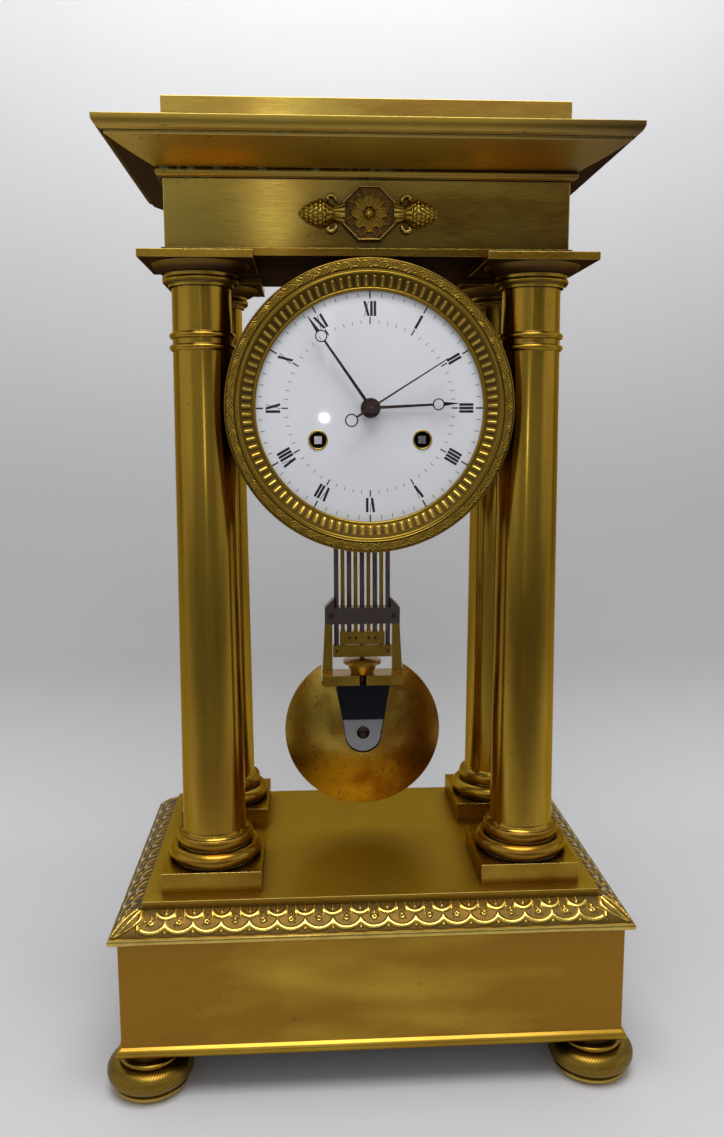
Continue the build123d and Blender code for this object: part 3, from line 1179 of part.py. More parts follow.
def bell_stand():
    """Post on the back plate, cross bar behind the pendulum, stud and nut for the bell."""
    half = BELL_BAR_H / 2
    solid = rod_y(BELL_POST_R, Y_BACK_OUT, Y_BELL_BAR + BELL_BAR_T, BELL_POST_X, Z_DIAL)
    bar = Pos(BELL_POST_X / 2, 0) * SlotCenterToCenter(BELL_POST_X, BELL_BAR_H)
    solid += along_y(bar, Y_BELL_BAR, Y_BELL_BAR + BELL_BAR_T, 0, Z_DIAL)
    seat = Y_BELL + BELL_H - BELL_T
    solid += rod_y(BELL_STUD_R + half / 2, Y_BELL_BAR + BELL_BAR_T, seat, 0, Z_DIAL)
    solid += rod_y(BELL_STUD_R, seat, Y_BELL + BELL_H + BELL_NUT_H, 0, Z_DIAL)
    nut = along_y(RegularPolygon(BELL_NUT_R, 6) - Circle(BELL_STUD_R + PRESS_GAP),
                  Y_BELL + BELL_H, Y_BELL + BELL_H + BELL_NUT_H, 0, Z_DIAL)
    return [solid, nut]


def bell():
    """Cup bell with a flared lip, its mouth towards the movement."""
    y1 = Y_BELL + BELL_H
    body = BELL_R - BELL_LIP
    shoulder = BELL_H * 0.62
    profile = [
        (BELL_STUD_R + PRESS_GAP, y1 - BELL_T), (BELL_STUD_R + PRESS_GAP, y1), (body - shoulder, y1),
        (body, y1 - shoulder, body - shoulder * 0.293, y1 - shoulder * 0.293),
        (BELL_R, Y_BELL, body + BELL_LIP * 0.2, Y_BELL + (BELL_H - shoulder) * 0.45),
        (BELL_R - BELL_T, Y_BELL),
        (body - BELL_T, y1 - shoulder, body - BELL_T + BELL_LIP * 0.2, Y_BELL + (BELL_H - shoulder) * 0.45),
        (body - shoulder, y1 - BELL_T, body - BELL_T - (shoulder - BELL_T) * 0.293,
         y1 - BELL_T - (shoulder - BELL_T) * 0.293),
    ]
    return turned_back(profile, 0, Z_DIAL)


def hammer():
    """Hammer arbor with its tail between the plates and its arm and head beside the bell."""
    x, z = at(HAMMER_AT)
    y_arm = Y_BELL + BELL_LIP
    y_head = y_arm + HAMMER_ARM_T / 2
    solid = rod_y(HAMMER_ARBOR_R, Y_PLATE + PIVOT_END, y_arm + HAMMER_ARM_T, x, z)
    head_x = -(BELL_R + HAMMER_GAP + HAMMER_HEAD_R)
    rise = HAMMER_BELOW
    length = math.hypot(head_x - x, rise)
    lean = -math.degrees(math.atan2(head_x - x, rise))
    arm = Pos(0, length / 2) * Rectangle(HAMMER_ARM_W, length) + Circle(HAMMER_ARM_W)
    solid += along_y(arm, y_arm, y_arm + HAMMER_ARM_T, x, z, lean)
    solid += rod_y(HAMMER_HEAD_R, y_head - HAMMER_HEAD_L / 2, y_head + HAMMER_HEAD_L / 2, head_x, Z_DIAL)
    y_tail = Y_CENTRE + CENTRE_T + PIN_L / 2
    tail = Pos(0, HAMMER_TAIL_L / 2) * Rectangle(HAMMER_ARM_W, HAMMER_TAIL_L) + Circle(HAMMER_ARM_W)
    return solid + along_y(tail, y_tail, y_tail + CENTRE_T, x, z, TAIL_LEAN)


TAIL_LEAN = -math.degrees(math.atan2(PIN_AT[0] - (PIN_CIRCLE_R + HUB_R) - HAMMER_AT[0], HAMMER_TAIL_L))


# Pendulum, from the knife edge down
Z_BRIDGE = Z_BOB + BOB_NOTCH_UP
Z_NUT = Z_BRIDGE + BRIDGE_H
Z_LOWER_BAR = Z_NUT + NUT_H + NUT_TRAVEL_UP
Z_SMALL_BAR = Z_LOWER_BAR + LOWER_BAR_H + BAR_GAP
Z_STIRRUP = Z_SMALL_BAR + SMALL_BAR_H + STIRRUP_DROP
Z_TOP_BAR = Z_PIVOT - HANGER_L - TOP_BAR_H
STEEL_X = (-4 * ROD_PITCH, -2 * ROD_PITCH, 0.0, 2 * ROD_PITCH, 4 * ROD_PITCH)
BRASS_X = (-3 * ROD_PITCH, -ROD_PITCH, ROD_PITCH, 3 * ROD_PITCH)
Z_UPPER_BARS = (Z_TOP_BAR - UPPER_BAR_STEP, Z_TOP_BAR - 2 * UPPER_BAR_STEP)
OUTER_BAR_HALF = 4 * ROD_PITCH + STEEL_ROD_R + BAR_WALL
ARM_IN = OUTER_BAR_HALF + ARM_GAP


def suspension_cock():
    """Two V blocks on the soffit that carry the knife edge."""
    base_x = COCK_BLOCK_W / 2 + COCK_BASE_MARGIN
    y_in = HANGER_SLOT_Y
    y_out = y_in + COCK_BLOCK_T
    solid = block(-base_x, base_x, Y_PEND - y_out, Y_PEND + y_out, Z_FRIEZE, Z_FRIEZE + COCK_BASE_T)
    solid -= block(-HANGER_SLOT_X, HANGER_SLOT_X, Y_PEND - y_in, Y_PEND + y_in,
                   Z_FRIEZE - RUN_FIT, Z_FRIEZE + COCK_BASE_T + RUN_FIT)
    top = Z_PIVOT + COCK_WALL_H
    for y0, y1 in ((Y_PEND - y_out, Y_PEND - y_in), (Y_PEND + y_in, Y_PEND + y_out)):
        solid += block(-COCK_BLOCK_W / 2, COCK_BLOCK_W / 2, y0, y1, Z_FRIEZE, top)
    spread = COCK_WALL_H * math.tan(math.radians(COCK_V_HALF_ANGLE))
    groove = outline([(0, 0), (spread, COCK_WALL_H), (-spread, COCK_WALL_H)])
    solid -= along_y(groove, Y_PEND - y_out - RUN_FIT, Y_PEND + y_out + RUN_FIT, 0, Z_PIVOT)
    return solid - rod_y(KNIFE_EDGE_R + RUN_FIT, Y_PEND - y_out - RUN_FIT, Y_PEND + y_out + RUN_FIT, 0, Z_PIVOT)


def gridiron_steel_rods():
    """Outer pair, inner pair and the middle rod, which runs down through the rating nut."""
    low_outer = Z_LOWER_BAR + ROD_SEAT
    low_inner = Z_SMALL_BAR + ROD_SEAT
    z_end = Z_BRIDGE + NUT_TRAVEL_UP + NOTCH_FIT
    spans = [
        (low_outer, Z_TOP_BAR + ROD_SEAT), (low_inner, Z_UPPER_BARS[0] + ROD_SEAT),
        (z_end, Z_UPPER_BARS[1] + ROD_SEAT),
        (low_inner, Z_UPPER_BARS[0] + ROD_SEAT), (low_outer, Z_TOP_BAR + ROD_SEAT),
    ]
    return [rod_z(STEEL_ROD_R, low, high, x, Y_PEND) for x, (low, high) in zip(STEEL_X, spans)]


def gridiron_brass_rods():
    spans = [
        (Z_LOWER_BAR, Z_UPPER_BARS[0]), (Z_SMALL_BAR, Z_UPPER_BARS[1]),
        (Z_SMALL_BAR, Z_UPPER_BARS[1]), (Z_LOWER_BAR, Z_UPPER_BARS[0]),
    ]
    return [rod_z(BRASS_ROD_R, low + ROD_SEAT, high + ROD_SEAT, x, Y_PEND)
            for x, (low, high) in zip(BRASS_X, spans)]


def cross_bar(half, z0, height, holes):
    """Bar with holes; each hole is (x, radius, from z, to z)."""
    bar = block(-half, half, Y_PEND - BAR_T / 2, Y_PEND + BAR_T / 2, z0, z0 + height)
    for x, radius, low, high in holes:
        bar -= rod_z(radius + PRESS_GAP, low, high, x, Y_PEND)
    return bar


def gridiron_crossbars():
    """Top bar with hanger and knife, two upper bars, and the two lower bars."""
    far = 2 * RUN_FIT
    top_holes = [(x, STEEL_ROD_R, Z_TOP_BAR - far, Z_TOP_BAR + ROD_SEAT) for x in (STEEL_X[0], STEEL_X[4])]
    top = cross_bar(OUTER_BAR_HALF, Z_TOP_BAR, TOP_BAR_H, top_holes)
    top += block(-HANGER_W / 2, HANGER_W / 2, Y_PEND - HANGER_T / 2, Y_PEND + HANGER_T / 2,
                 Z_TOP_BAR + TOP_BAR_H, Z_PIVOT + KNIFE_H)
    knife = outline([(0, 0), (KNIFE_W / 2, KNIFE_H), (-KNIFE_W / 2, KNIFE_H)])
    reach = HANGER_T / 2 + KNIFE_SIDE
    top += along_y(knife + Circle(KNIFE_EDGE_R), Y_PEND - reach, Y_PEND + reach, 0, Z_PIVOT)
    half_a = 3 * ROD_PITCH + BRASS_ROD_R + BAR_WALL
    half_b = ROD_PITCH + BRASS_ROD_R + BAR_WALL
    za, zb = Z_UPPER_BARS
    through_a = (za - far, za + UPPER_BAR_H + far)
    upper_a = cross_bar(half_a, za, UPPER_BAR_H, [
        (BRASS_X[0], BRASS_ROD_R, za - far, za + ROD_SEAT), (BRASS_X[3], BRASS_ROD_R, za - far, za + ROD_SEAT),
        (STEEL_X[1], STEEL_ROD_R, za - far, za + ROD_SEAT), (STEEL_X[3], STEEL_ROD_R, za - far, za + ROD_SEAT),
    ])
    upper_b = cross_bar(half_b, zb, UPPER_BAR_H, [
        (BRASS_X[1], BRASS_ROD_R, zb - far, zb + ROD_SEAT), (BRASS_X[2], BRASS_ROD_R, zb - far, zb + ROD_SEAT),
        (STEEL_X[2], STEEL_ROD_R, zb - far, zb + ROD_SEAT),
    ])
    zl, zs = Z_LOWER_BAR, Z_SMALL_BAR
    lower = cross_bar(OUTER_BAR_HALF, zl, LOWER_BAR_H, [
        (x, radius, zl + ROD_SEAT, zl + LOWER_BAR_H + far)
        for x, radius in ((STEEL_X[0], STEEL_ROD_R), (STEEL_X[4], STEEL_ROD_R),
                          (BRASS_X[0], BRASS_ROD_R), (BRASS_X[3], BRASS_ROD_R))
    ] + [(0.0, STEEL_ROD_R, zl - far, zl + LOWER_BAR_H + far)])
    small = cross_bar(half_a, zs, SMALL_BAR_H, [
        (x, radius, zs + ROD_SEAT, zs + SMALL_BAR_H + far)
        for x, radius in ((STEEL_X[1], STEEL_ROD_R), (STEEL_X[3], STEEL_ROD_R),
                          (BRASS_X[1], BRASS_ROD_R), (BRASS_X[2], BRASS_ROD_R))
    ] + [(x, radius, zs - far, zs + SMALL_BAR_H + far)
         for x, radius in ((0.0, STEEL_ROD_R), (BRASS_X[0], BRASS_ROD_R), (BRASS_X[3], BRASS_ROD_R))])
    return [top, upper_a, upper_b, lower, small]


def bob_stirrup():
    """Frame round the lower bars: guide bar on the rods, two flared arms and a bridge under the nut."""
    bar_half = ARM_IN + STIRRUP_ARM_W_HIGH
    z0, z1 = Z_STIRRUP, Z_STIRRUP + STIRRUP_BAR_H
    y0, y1 = Y_PEND - STIRRUP_BAR_T / 2, Y_PEND + STIRRUP_BAR_T / 2
    solid = block(-bar_half, bar_half, y0, y1, z0, z1)
    ear_out, ear_in = OUTER_BAR_HALF, OUTER_BAR_HALF - BAR_WALL
    for side in (-1, 1):
        ear = outline([(side * bar_half, 0), (side * ear_out, STIRRUP_EAR_H), (side * ear_in, STIRRUP_EAR_H),
                       (side * ear_in, 0)])
        solid += along_y(ear, y0, y1, 0, z1)
        foot = ARM_IN + STIRRUP_ARM_W_LOW
        arm = outline([(side * ARM_IN, Z_NUT), (side * foot, Z_NUT), (side * bar_half, z0),
                       (side * ARM_IN, z0)])
        solid += along_y(arm, Y_PEND - STIRRUP_ARM_T / 2, Y_PEND + STIRRUP_ARM_T / 2, 0, 0)
    bridge_half = ARM_IN + STIRRUP_ARM_W_LOW
    solid += block(-bridge_half, bridge_half, Y_PEND - BRIDGE_T / 2, Y_PEND + BRIDGE_T / 2, Z_BRIDGE, Z_NUT)
    for x in STEEL_X:
        solid -= rod_z(STEEL_ROD_R + SLIDE_FIT, z0 - RUN_FIT, z1 + STIRRUP_EAR_H + RUN_FIT, x, Y_PEND)
    for x in BRASS_X:
        solid -= rod_z(BRASS_ROD_R + SLIDE_FIT, z0 - RUN_FIT, z1 + STIRRUP_EAR_H + RUN_FIT, x, Y_PEND)
    half, low, high = BRIDGE_SLOT_W / 2, Z_BRIDGE - RUN_FIT, Z_NUT + RUN_FIT
    slot = block(-half, half, Y_PEND - BRIDGE_T, Y_PEND, low, high)
    return solid - slot - rod_z(half, low, high, 0, Y_PEND)


def rating_nut():
    """Cup-shaped nut with a thin flange, under the gridiron, that sets the bob's height."""
    z0, z1 = Z_NUT, Z_NUT + NUT_H
    z2 = z1 - NUT_FLANGE_H
    profile = [
        (STEEL_ROD_R + RUN_FIT, z0), (NUT_FOOT_R, z0), (NUT_BODY_R, z2), (NUT_FLANGE_R, z2),
        (NUT_FLANGE_R, z2 + NUT_FLANGE_H * 0.6), (STEEL_ROD_R * 2, z1), (STEEL_ROD_R + RUN_FIT, z1),
    ]
    return turned_up(profile, 0, Y_PEND)


SHIELD_FLOOR_Y = Y_PEND - BOB_T / 2 + SHIELD_SINK


def shield_sketch(grow):
    """Tapering plate with a round lower end, hung from the bridge; drawn from the bridge down."""
    top, low = SHIELD_W_TOP / 2 + grow, SHIELD_W_LOW / 2 + grow
    drop = SHIELD_DROP + grow
    side = drop - low
    return path_face([(-top, 0), (-low, -side), (low, -side, 0, -drop), (top, 0)], lambda u, v: (u, v, 0))


def bob():
    """Lens bob, notched above for the stirrup and recessed in front for the shield plate."""
    edge, half = BOB_EDGE_T / 2, BOB_T / 2
    middle = BOB_R / 2
    rise = half - edge
    sag = edge + rise * (1 - 0.25)
    profile = [
        (0, Y_PEND - half), (BOB_R, Y_PEND - edge, middle, Y_PEND - sag), (BOB_R, Y_PEND + edge),
        (0, Y_PEND + half, middle, Y_PEND + sag),
    ]
    solid = turned_back(profile, 0, Z_BOB)
    notch = ARM_IN + STIRRUP_ARM_W_LOW + NOTCH_FIT
    solid -= block(-notch, notch, Y_PEND - BOB_T, Y_PEND + BOB_T, Z_BRIDGE, Z_BOB + 2 * BOB_R)
    recess = Sketch() + shield_sketch(NOTCH_FIT)
    return solid - along_y(recess, Y_PEND - BOB_T, SHIELD_FLOOR_Y, 0, Z_BRIDGE)


def bob_plate():
    """Steel shield plate with its domed screw."""
    plate = along_y(Sketch() + shield_sketch(0), SHIELD_FLOOR_Y - SHIELD_T, SHIELD_FLOOR_Y, 0, Z_BRIDGE)
    seat = SHIELD_FLOOR_Y - SHIELD_T
    dome = (SHIELD_SCREW_R * 0.7, seat - SHIELD_SCREW_H * 0.6)
    profile = [(0, seat - SHIELD_SCREW_H), (SHIELD_SCREW_R, seat, *dome), (0, seat)]
    return [plate, turned_back(profile, 0, Z_BOB)]


# Every piece under its own name

def build():
    nodes = {
        "bun_feet": bun_feet(),
        "base_lower_moulding": base_lower_moulding(),
        "base_plinth_box": base_plinth_box(),
        "base_rim_moulding": base_rim_moulding(),
        "base_top_slab": base_top_slab(),
        "column_tie_rods": column_tie_rods(),
        "soffit_plate": soffit_plate(),
        "frieze_box": frieze_box(),
        "cornice": cornice(),
        "attic_block": attic_block(),
        "frieze_ornament": frieze_ornament(),
        "movement_drum": movement_drum(),
        "drum_saddle": drum_saddle(),
        "bezel": bezel(),
        "dial": dial(),
        "front_plate": front_plate(),
        "back_plate": back_plate(),
        "movement_pillars": movement_pillars(),
        "suspension_cock": suspension_cock(),
        "bell_stand": bell_stand(),
        "bell": bell(),
        "going_barrel": barrel(GOING_AT),
        "going_winding_arbor": winding_arbor(GOING_AT),
        "intermediate_wheel": intermediate(INTER_AT, INTER_PINION_PHASE, INTER_PHASE),
        "centre_wheel": centre_wheel(),
        "third_wheel": third_wheel(),
        "escape_wheel": escape_wheel(),
        "pallets": pallets(),
        "cannon_pinion": cannon_pinion(),
        "minute_wheel": minute_wheel(),
        "hour_wheel": hour_wheel(),
        "hour_hand": hand(HOUR_HAND_L, HOUR_RING_AT, HOUR_HUB_R, HOUR_PIPE_R, Y_HOUR_HAND, HOUR_ANGLE),
        "minute_hand": hand(MINUTE_HAND_L, MINUTE_RING_AT, MINUTE_HUB_R, CANNON_PIPE_R, Y_MINUTE_HAND, MINUTE_ANGLE),
        "seconds_hand": seconds_hand(),
        "strike_barrel": barrel(STRIKE_AT),
        "strike_winding_arbor": winding_arbor(STRIKE_AT),
        "strike_second_wheel": intermediate(SECOND_AT, SECOND_PINION_PHASE, INTER_PHASE,
                                            Y_BACK_OUT + COUNT_SETBACK + COUNT_WHEEL_T + PIVOT_END),
        "count_wheel": count_wheel(),
        "pin_wheel": pin_wheel(),
        "fly": fly(),
        "hammer": hammer(),
        "gridiron_steel_rods": gridiron_steel_rods(),
        "gridiron_brass_rods": gridiron_brass_rods(),
        "gridiron_crossbars": gridiron_crossbars(),
        "bob_stirrup": bob_stirrup(),
        "bob": bob(),
        "bob_plate": bob_plate(),
        "rating_nut": rating_nut(),
    }
    for name, x, y in COLUMNS:
        nodes["column_base_" + name] = column_base(x, y)
        nodes["column_shaft_" + name] = column_shaft(x, y)
        nodes["column_capital_" + name] = column_capital(x, y)
    return nodes


def main():
    os.makedirs("parts", exist_ok=True)
    for name, shape in build().items():
        solids = shape if isinstance(shape, list) else [shape]
        pieces = [solid for item in solids for solid in item.solids()]
        whole = pieces[0] if len(pieces) == 1 else Compound(children=pieces)
        whole.label = name
        export_step(whole, os.path.join("parts", name + ".step"))
    for label, point in (("going", GOING_AT), ("intermediate", INTER_AT), ("third", THIRD_AT), ("strike", STRIKE_AT),
                         ("second", SECOND_AT), ("pin", PIN_AT), ("fly", FLY_AT), ("minute", MINUTE_AT),
                         ("pallets", PALLET_AT), ("hammer", HAMMER_AT)):
        print(label, "arbor at x", round(at(point)[0], 4), "z", round(at(point)[1], 4))
    print("dial centre z", round(Z_DIAL, 4), "bezel back y", round(Y_BEZEL, 4), "plate y", round(Y_PLATE, 4))
    print("back plate y", round(Y_BACK, 4), "to", round(Y_BACK_OUT, 4), "pendulum y", round(Y_PEND, 4))
    print("pivot z", round(Z_PIVOT, 4), "bob z", round(Z_BOB, 4), "top z", round(Z_TOP, 4))


main()
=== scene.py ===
"""Looks of the portico mantel clock: finishes, chased ornament, dial marks and studio, as a Blender add-on.

Lengths are in millimetres in the clock's frame (X right, Y back, Z up), and meshes are made in metres.
The studio's lengths are in metres.
"""
import math

import bmesh
import bpy
import numpy as np
from bpy.props import FloatProperty, FloatVectorProperty, IntProperty, PointerProperty
from mathutils import Matrix, Vector


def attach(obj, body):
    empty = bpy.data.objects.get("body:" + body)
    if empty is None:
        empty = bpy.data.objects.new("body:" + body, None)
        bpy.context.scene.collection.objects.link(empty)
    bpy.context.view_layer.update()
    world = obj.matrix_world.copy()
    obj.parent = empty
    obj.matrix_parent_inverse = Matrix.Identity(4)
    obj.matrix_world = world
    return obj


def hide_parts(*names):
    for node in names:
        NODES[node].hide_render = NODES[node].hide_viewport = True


bl_info = {
    "name": "Portico clock looks",
    "version": (1, 0, 0),
    "blender": (4, 5, 0),
    "location": "View3D > Sidebar > Clock",
    "description": "Finishes, chased ornament, dial marks and studio of a portico mantel clock",
    "category": "Object",
}

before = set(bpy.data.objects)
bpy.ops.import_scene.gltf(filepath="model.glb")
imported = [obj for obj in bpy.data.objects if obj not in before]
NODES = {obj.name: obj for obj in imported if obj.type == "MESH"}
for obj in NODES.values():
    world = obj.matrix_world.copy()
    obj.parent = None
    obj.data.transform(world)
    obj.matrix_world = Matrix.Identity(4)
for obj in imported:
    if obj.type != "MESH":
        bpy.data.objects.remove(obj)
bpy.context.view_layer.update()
MM = 0.001
WELD = 0.002 * MM  # points nearer to each other than this are merged


def extent(name):
    """Lowest and highest corner of a CAD node in mm."""
    made = NODES[name]
    corners = np.array([made.matrix_world @ Vector(corner) for corner in made.bound_box]) / MM
    return corners.min(axis=0), corners.max(axis=0)


def middle(name):
    """Middle of a CAD node in mm."""
    low, high = extent(name)
    return (low + high) / 2


# Places taken from the solids

DIAL_Z = middle("dial")[2]
DIAL_R = extent("dial")[1][0]
BEZEL_FRONT = extent("bezel")[0][1]
DIAL_EDGE = BEZEL_FRONT + 4.6  # where the dome meets the bezel's seat
HOLE_X, _, HOLE_Z = middle("going_winding_arbor")
FRIEZE_HALVES = -extent("frieze_box")[0][:2]
FRIEZE_FACE = extent("frieze_box")[0][1]
FRIEZE_Z = middle("frieze_box")[2]
CORNICE_FOOT = extent("cornice")[0][2]
CORNICE_TOP = extent("cornice")[1][2]
RIM_HALVES = -extent("base_rim_moulding")[0][:2]
RIM_FOOT = extent("base_rim_moulding")[0][2]
RIM_TOP = extent("base_rim_moulding")[1][2]


def linear(code):
    """Linear colour of an sRGB hex code."""
    values = np.array([int(code[i:i + 2], 16) for i in (1, 3, 5)]) / 255
    return tuple(np.where(values <= 0.04045, values / 12.92, ((values + 0.055) / 1.055) ** 2.4)) + (1.0,)


def colour(label, code, text):
    """Colour property with an sRGB hex default."""
    return FloatVectorProperty(name=label, description=text, subtype="COLOR", size=4, min=0, max=1,
                               default=linear(code))


def count(label, number, least, text):
    """Property for a number of like things."""
    return IntProperty(name=label, description=text, default=number, min=least)


def length(label, metres, least, text):
    """Property for a length."""
    return FloatProperty(name=label, description=text, default=metres, min=least, unit="LENGTH")


def power(label, watts, text):
    """Property for a lamp's power."""
    return FloatProperty(name=label, description=text, default=watts, min=0, unit="POWER")


class ClockFinish(bpy.types.PropertyGroup):
    """Colours of the clock's metals and enamels."""

    brass: colour("Gilt brass", "#B69432", "Polished gilt brass of the case")
    lemon: colour("Pale brass", "#BCA046", "Thinner gilding of frieze, attic and bob")
    brown: colour("Toned brass", "#8B5F1B", "Where the gilding has toned")
    # The chased ground also holds painted shade
    ground: colour("Chased ground", "#5F4C22", "Matted ground between chased ridges, with painted shade")
    # Patina is real oxide in spots and stains, and also the colour of painted shade in corners, on undersides
    # and in deep cuts
    patina_and_shade: colour("Patina", "#48332A", "Oxide and stains, also painted shade in corners and on undersides")
    # Bright gold also stands for a painted highlight on edges and ridges
    ridge: colour("Bright gold", "#E4C970", "Edges and ridges rubbed bright, with a painted highlight")
    movement: colour("Movement brass", "#B08E36", "Brass of plates, wheels and rods")
    steel: colour("Steel", "#A9A8AA", "Polished steel")
    dark_steel: colour("Dark steel", "#75685F", "Browned steel of rods and bars")
    blue: colour("Tempered steel", "#3C3134", "Hands tempered to brown violet")
    enamel: colour("Enamel", "#F1F3F8", "Fired white dial enamel")
    seconds: colour("Seconds steel", "#5A4545", "Seconds hand tempered to red brown")
    # The shield's dark upper part is a painted dark reflection; this colour also clouds the black paint
    shade: colour("Shield's dark reflection", "#2B2B33", "Painted dark reflection on the upper part of the bob's shield")
    # Black enamel also colours the painted shade deep in the winding holes
    ink: colour("Black enamel", "#08080A", "Painted numerals")
    verdigris: colour("Verdigris", "#A9B488", "Pale copper salts in a groove")


class ClockOrnament(bpy.types.PropertyGroup):
    """Counts and depths of the chased ornament."""

    rib_count: count("Bezel ribs", 95, 24, "Ribs in the bezel's inner band")
    leaf_count: count("Bezel leaves", 45, 12, "Leaves in the bezel's border")
    scale_pitch: length("Scale pitch", 0.0129, 0.004, "Pitch of the scales on the rim")
    chase_depth: length("Chase depth", 0.0006, 0.0001, "Height of chased ridges")
    hatch_count: count("Foot hatching", 80, 20, "Slanted cuts round a foot")


class ClockStage(bpy.types.PropertyGroup):
    """Studio: paper, lamps, surroundings and lens."""

    floor: colour("Paper", "#D2D2D5", "Matt paper under and behind the clock")
    # Paper wall, lit paper and near end are painted shade and painted light on the paper
    wall: colour("Paper wall", "#BEBEC0", "The paper just behind the clock, turned from the lamp")
    lit_paper_top: colour("Lit paper", "#E0E0E2", "The paper high behind the clock, nearer the lamps")
    fibre: colour("Paper fibre", "#BCB8B5", "Faint warm clouds in the paper")
    shaded_paper_end: colour("Paper's near end", "#6F6F71", "Painted shade on the paper's near end, under the camera")
    walls: colour("Walls", "#CBCBCC", "Light walls that the brass mirrors")
    windows: colour("Windows", "#FFFFFF", "Bright band above the walls")
    ceiling: colour("Ceiling", "#B3B3B4", "Ceiling above the windows")
    room: colour("Room", "#99999A", "Lower part of the room behind the camera")
    gloom: colour("Dark room", "#3F3F41", "Upper part of the room behind the camera")
    doorway: colour("Doorway", "#9EA2A2", "Lighter patch on the left of the dark room")
    key_power: power("Overhead lamp", 7.0, "Power of the soft lamp above")
    strip_power: power("Strip lamp", 0.13, "Power of the narrow upright lamp in front")
    back_power: power("Backdrop lamp", 1.1, "Power of the lamp that lights the paper behind")
    spark_power: power("Front lamp", 0.025, "Power of the small lamp by the camera")
    lens: FloatProperty(name="Lens", description="Focal length", default=30.605, min=10, unit="CAMERA")


# Meshes


def arc(start, via, end, points):
    """Points on the circle through three points, from the first to the last."""
    (ax, ay), (bx, by), (cx, cy) = start, via, end
    d = 2 * (ax * (by - cy) + bx * (cy - ay) + cx * (ay - by))
    sa, sb, sc = ax * ax + ay * ay, bx * bx + by * by, cx * cx + cy * cy
    ux = (sa * (by - cy) + sb * (cy - ay) + sc * (ay - by)) / d
    uy = (sa * (cx - bx) + sb * (ax - cx) + sc * (bx - ax)) / d
    angles = np.unwrap([math.atan2(y - uy, x - ux) for x, y in (start, via, end)])
    turn = np.linspace(angles[0], angles[2], points)
    radius = math.hypot(ax - ux, ay - uy)
    return np.stack([ux + radius * np.cos(turn), uy + radius * np.sin(turn)], -1)


def line(start, end, points):
    """Evenly spaced points from one point to another."""
    return np.linspace(np.array(start, float), np.array(end, float), points)


def circle(points):
    """Angles evenly round a full turn, without the last."""
    return np.linspace(0, 2 * math.pi, points, endpoint=False)


def step(value, low, high):
    """Smooth step from 0 at low to 1 at high."""
    t = np.clip((value - low) / (high - low), 0, 1)
    return t * t * (3 - 2 * t)


def ridge(distance, width):
    """Rounded ridge, one minus the square of distance over width: 1 on its line and 0 from the width on."""
    return np.clip(1 - (distance / width) ** 2, 0, 1)


def quads(rows, columns, wrap_u=False, wrap_v=False):
    """Corner numbers of the faces between neighbouring points of a grid."""
    i, j = np.meshgrid(np.arange(rows if wrap_u else rows - 1),
                       np.arange(columns if wrap_v else columns - 1), indexing="ij")
    row, next_row = i * columns, (i + 1) % rows * columns
    next_j = (j + 1) % columns
    return np.stack([row + j, next_row + j, next_row + next_j, row + next_j], -1).reshape(-1, 4)


def grid(points, relief=None, wrap_u=False, wrap_v=False, cap=False):
    """A surface patch: points by rows and columns, the relief share at each, and how its edges close."""
    if relief is None:
        relief = np.full(points.shape[:2], 0.5)
    return {"points": points, "relief": relief, "wrap_u": wrap_u, "wrap_v": wrap_v, "cap": cap}


def piece(name, grids, body, finish, stands_for=(), sharp=38):
    """One closed mesh object from patches; quads join neighbouring points, poles and seams are merged.

    stands_for: the CAD nodes that it replaces; sharp: degrees past which an edge stays hard
    """
    points, relief, faces, start = [], [], [], 0
    for patch in grids:
        rows, columns = patch["points"].shape[:2]
        faces.extend((quads(rows, columns, patch["wrap_u"], patch["wrap_v"]) + start).tolist())
        if patch["cap"]:
            faces.append((start + np.arange(columns)).tolist())
            faces.append((start + (rows - 1) * columns + np.arange(columns)[::-1]).tolist())
        points.append(patch["points"].reshape(-1, 3))
        relief.append(patch["relief"].reshape(-1))
        start += rows * columns
    mesh = bpy.data.meshes.new(name)
    mesh.from_pydata(np.concatenate(points) * MM, [], faces)
    mesh.attributes.new("relief", "FLOAT", "POINT").data.foreach_set("value", np.concatenate(relief))
    work = bmesh.new()
    work.from_mesh(mesh)
    bmesh.ops.remove_doubles(work, verts=work.verts, dist=WELD)
    bmesh.ops.recalc_face_normals(work, faces=work.faces)
    work.to_mesh(mesh)
    work.free()
    mesh.shade_smooth()
    mesh.set_sharp_from_angle(angle=math.radians(sharp))
    made = bpy.data.objects.new(name, mesh)
    bpy.context.scene.collection.objects.link(made)
    made.data.materials.append(finish)
    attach(made, body)
    if stands_for:
        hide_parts(*stands_for)
    return made


# Materials


def node(tree, kind, links=(), out=0, **settings):
    """Adds a shader node and returns an output; links gives inputs, in order or by key, values or outputs."""
    made = tree.nodes.new("ShaderNode" + kind)
    for key, value in settings.items():
        setattr(made, key, value)
    for key, value in links.items() if isinstance(links, dict) else enumerate(links):
        if isinstance(value, bpy.types.NodeSocket):
            tree.links.new(value, made.inputs[key])
        else:
            made.inputs[key].default_value = value
    return made.outputs[out] if made.outputs else None


def begin(name, *patterns):
    """A new material, its tree, object coordinates and a noise for each (grain in mm by axis, detail)."""
    made = bpy.data.materials.new(name)
    made.use_nodes = True
    tree = made.node_tree
    tree.nodes.clear()
    place = node(tree, "TexCoord", out="Object")
    noises = []
    for size, detail in patterns:
        scaled = node(tree, "Mapping", {"Vector": place, "Scale": [1 / (MM * side) for side in size]})
        noises.append(node(tree, "TexNoise", {"Vector": scaled, "Scale": 1.0, "Detail": detail}))
    return made, tree, place, *noises


def layered(tree, tint, *layers):
    """Colour in layers: each (value, bare, full, share, tone) covers the last as value goes to full."""
    for value, bare, full, share, tone in layers:
        if share:
            cover = node(tree, "MapRange", (value, bare, full, 0.0, share))
            # A Mix node's colours are its inputs 6 and 7 and its output 2
            tint = node(tree, "Mix", {0: cover, 6: tint, 7: tone}, 2, data_type="RGBA")
    return tint


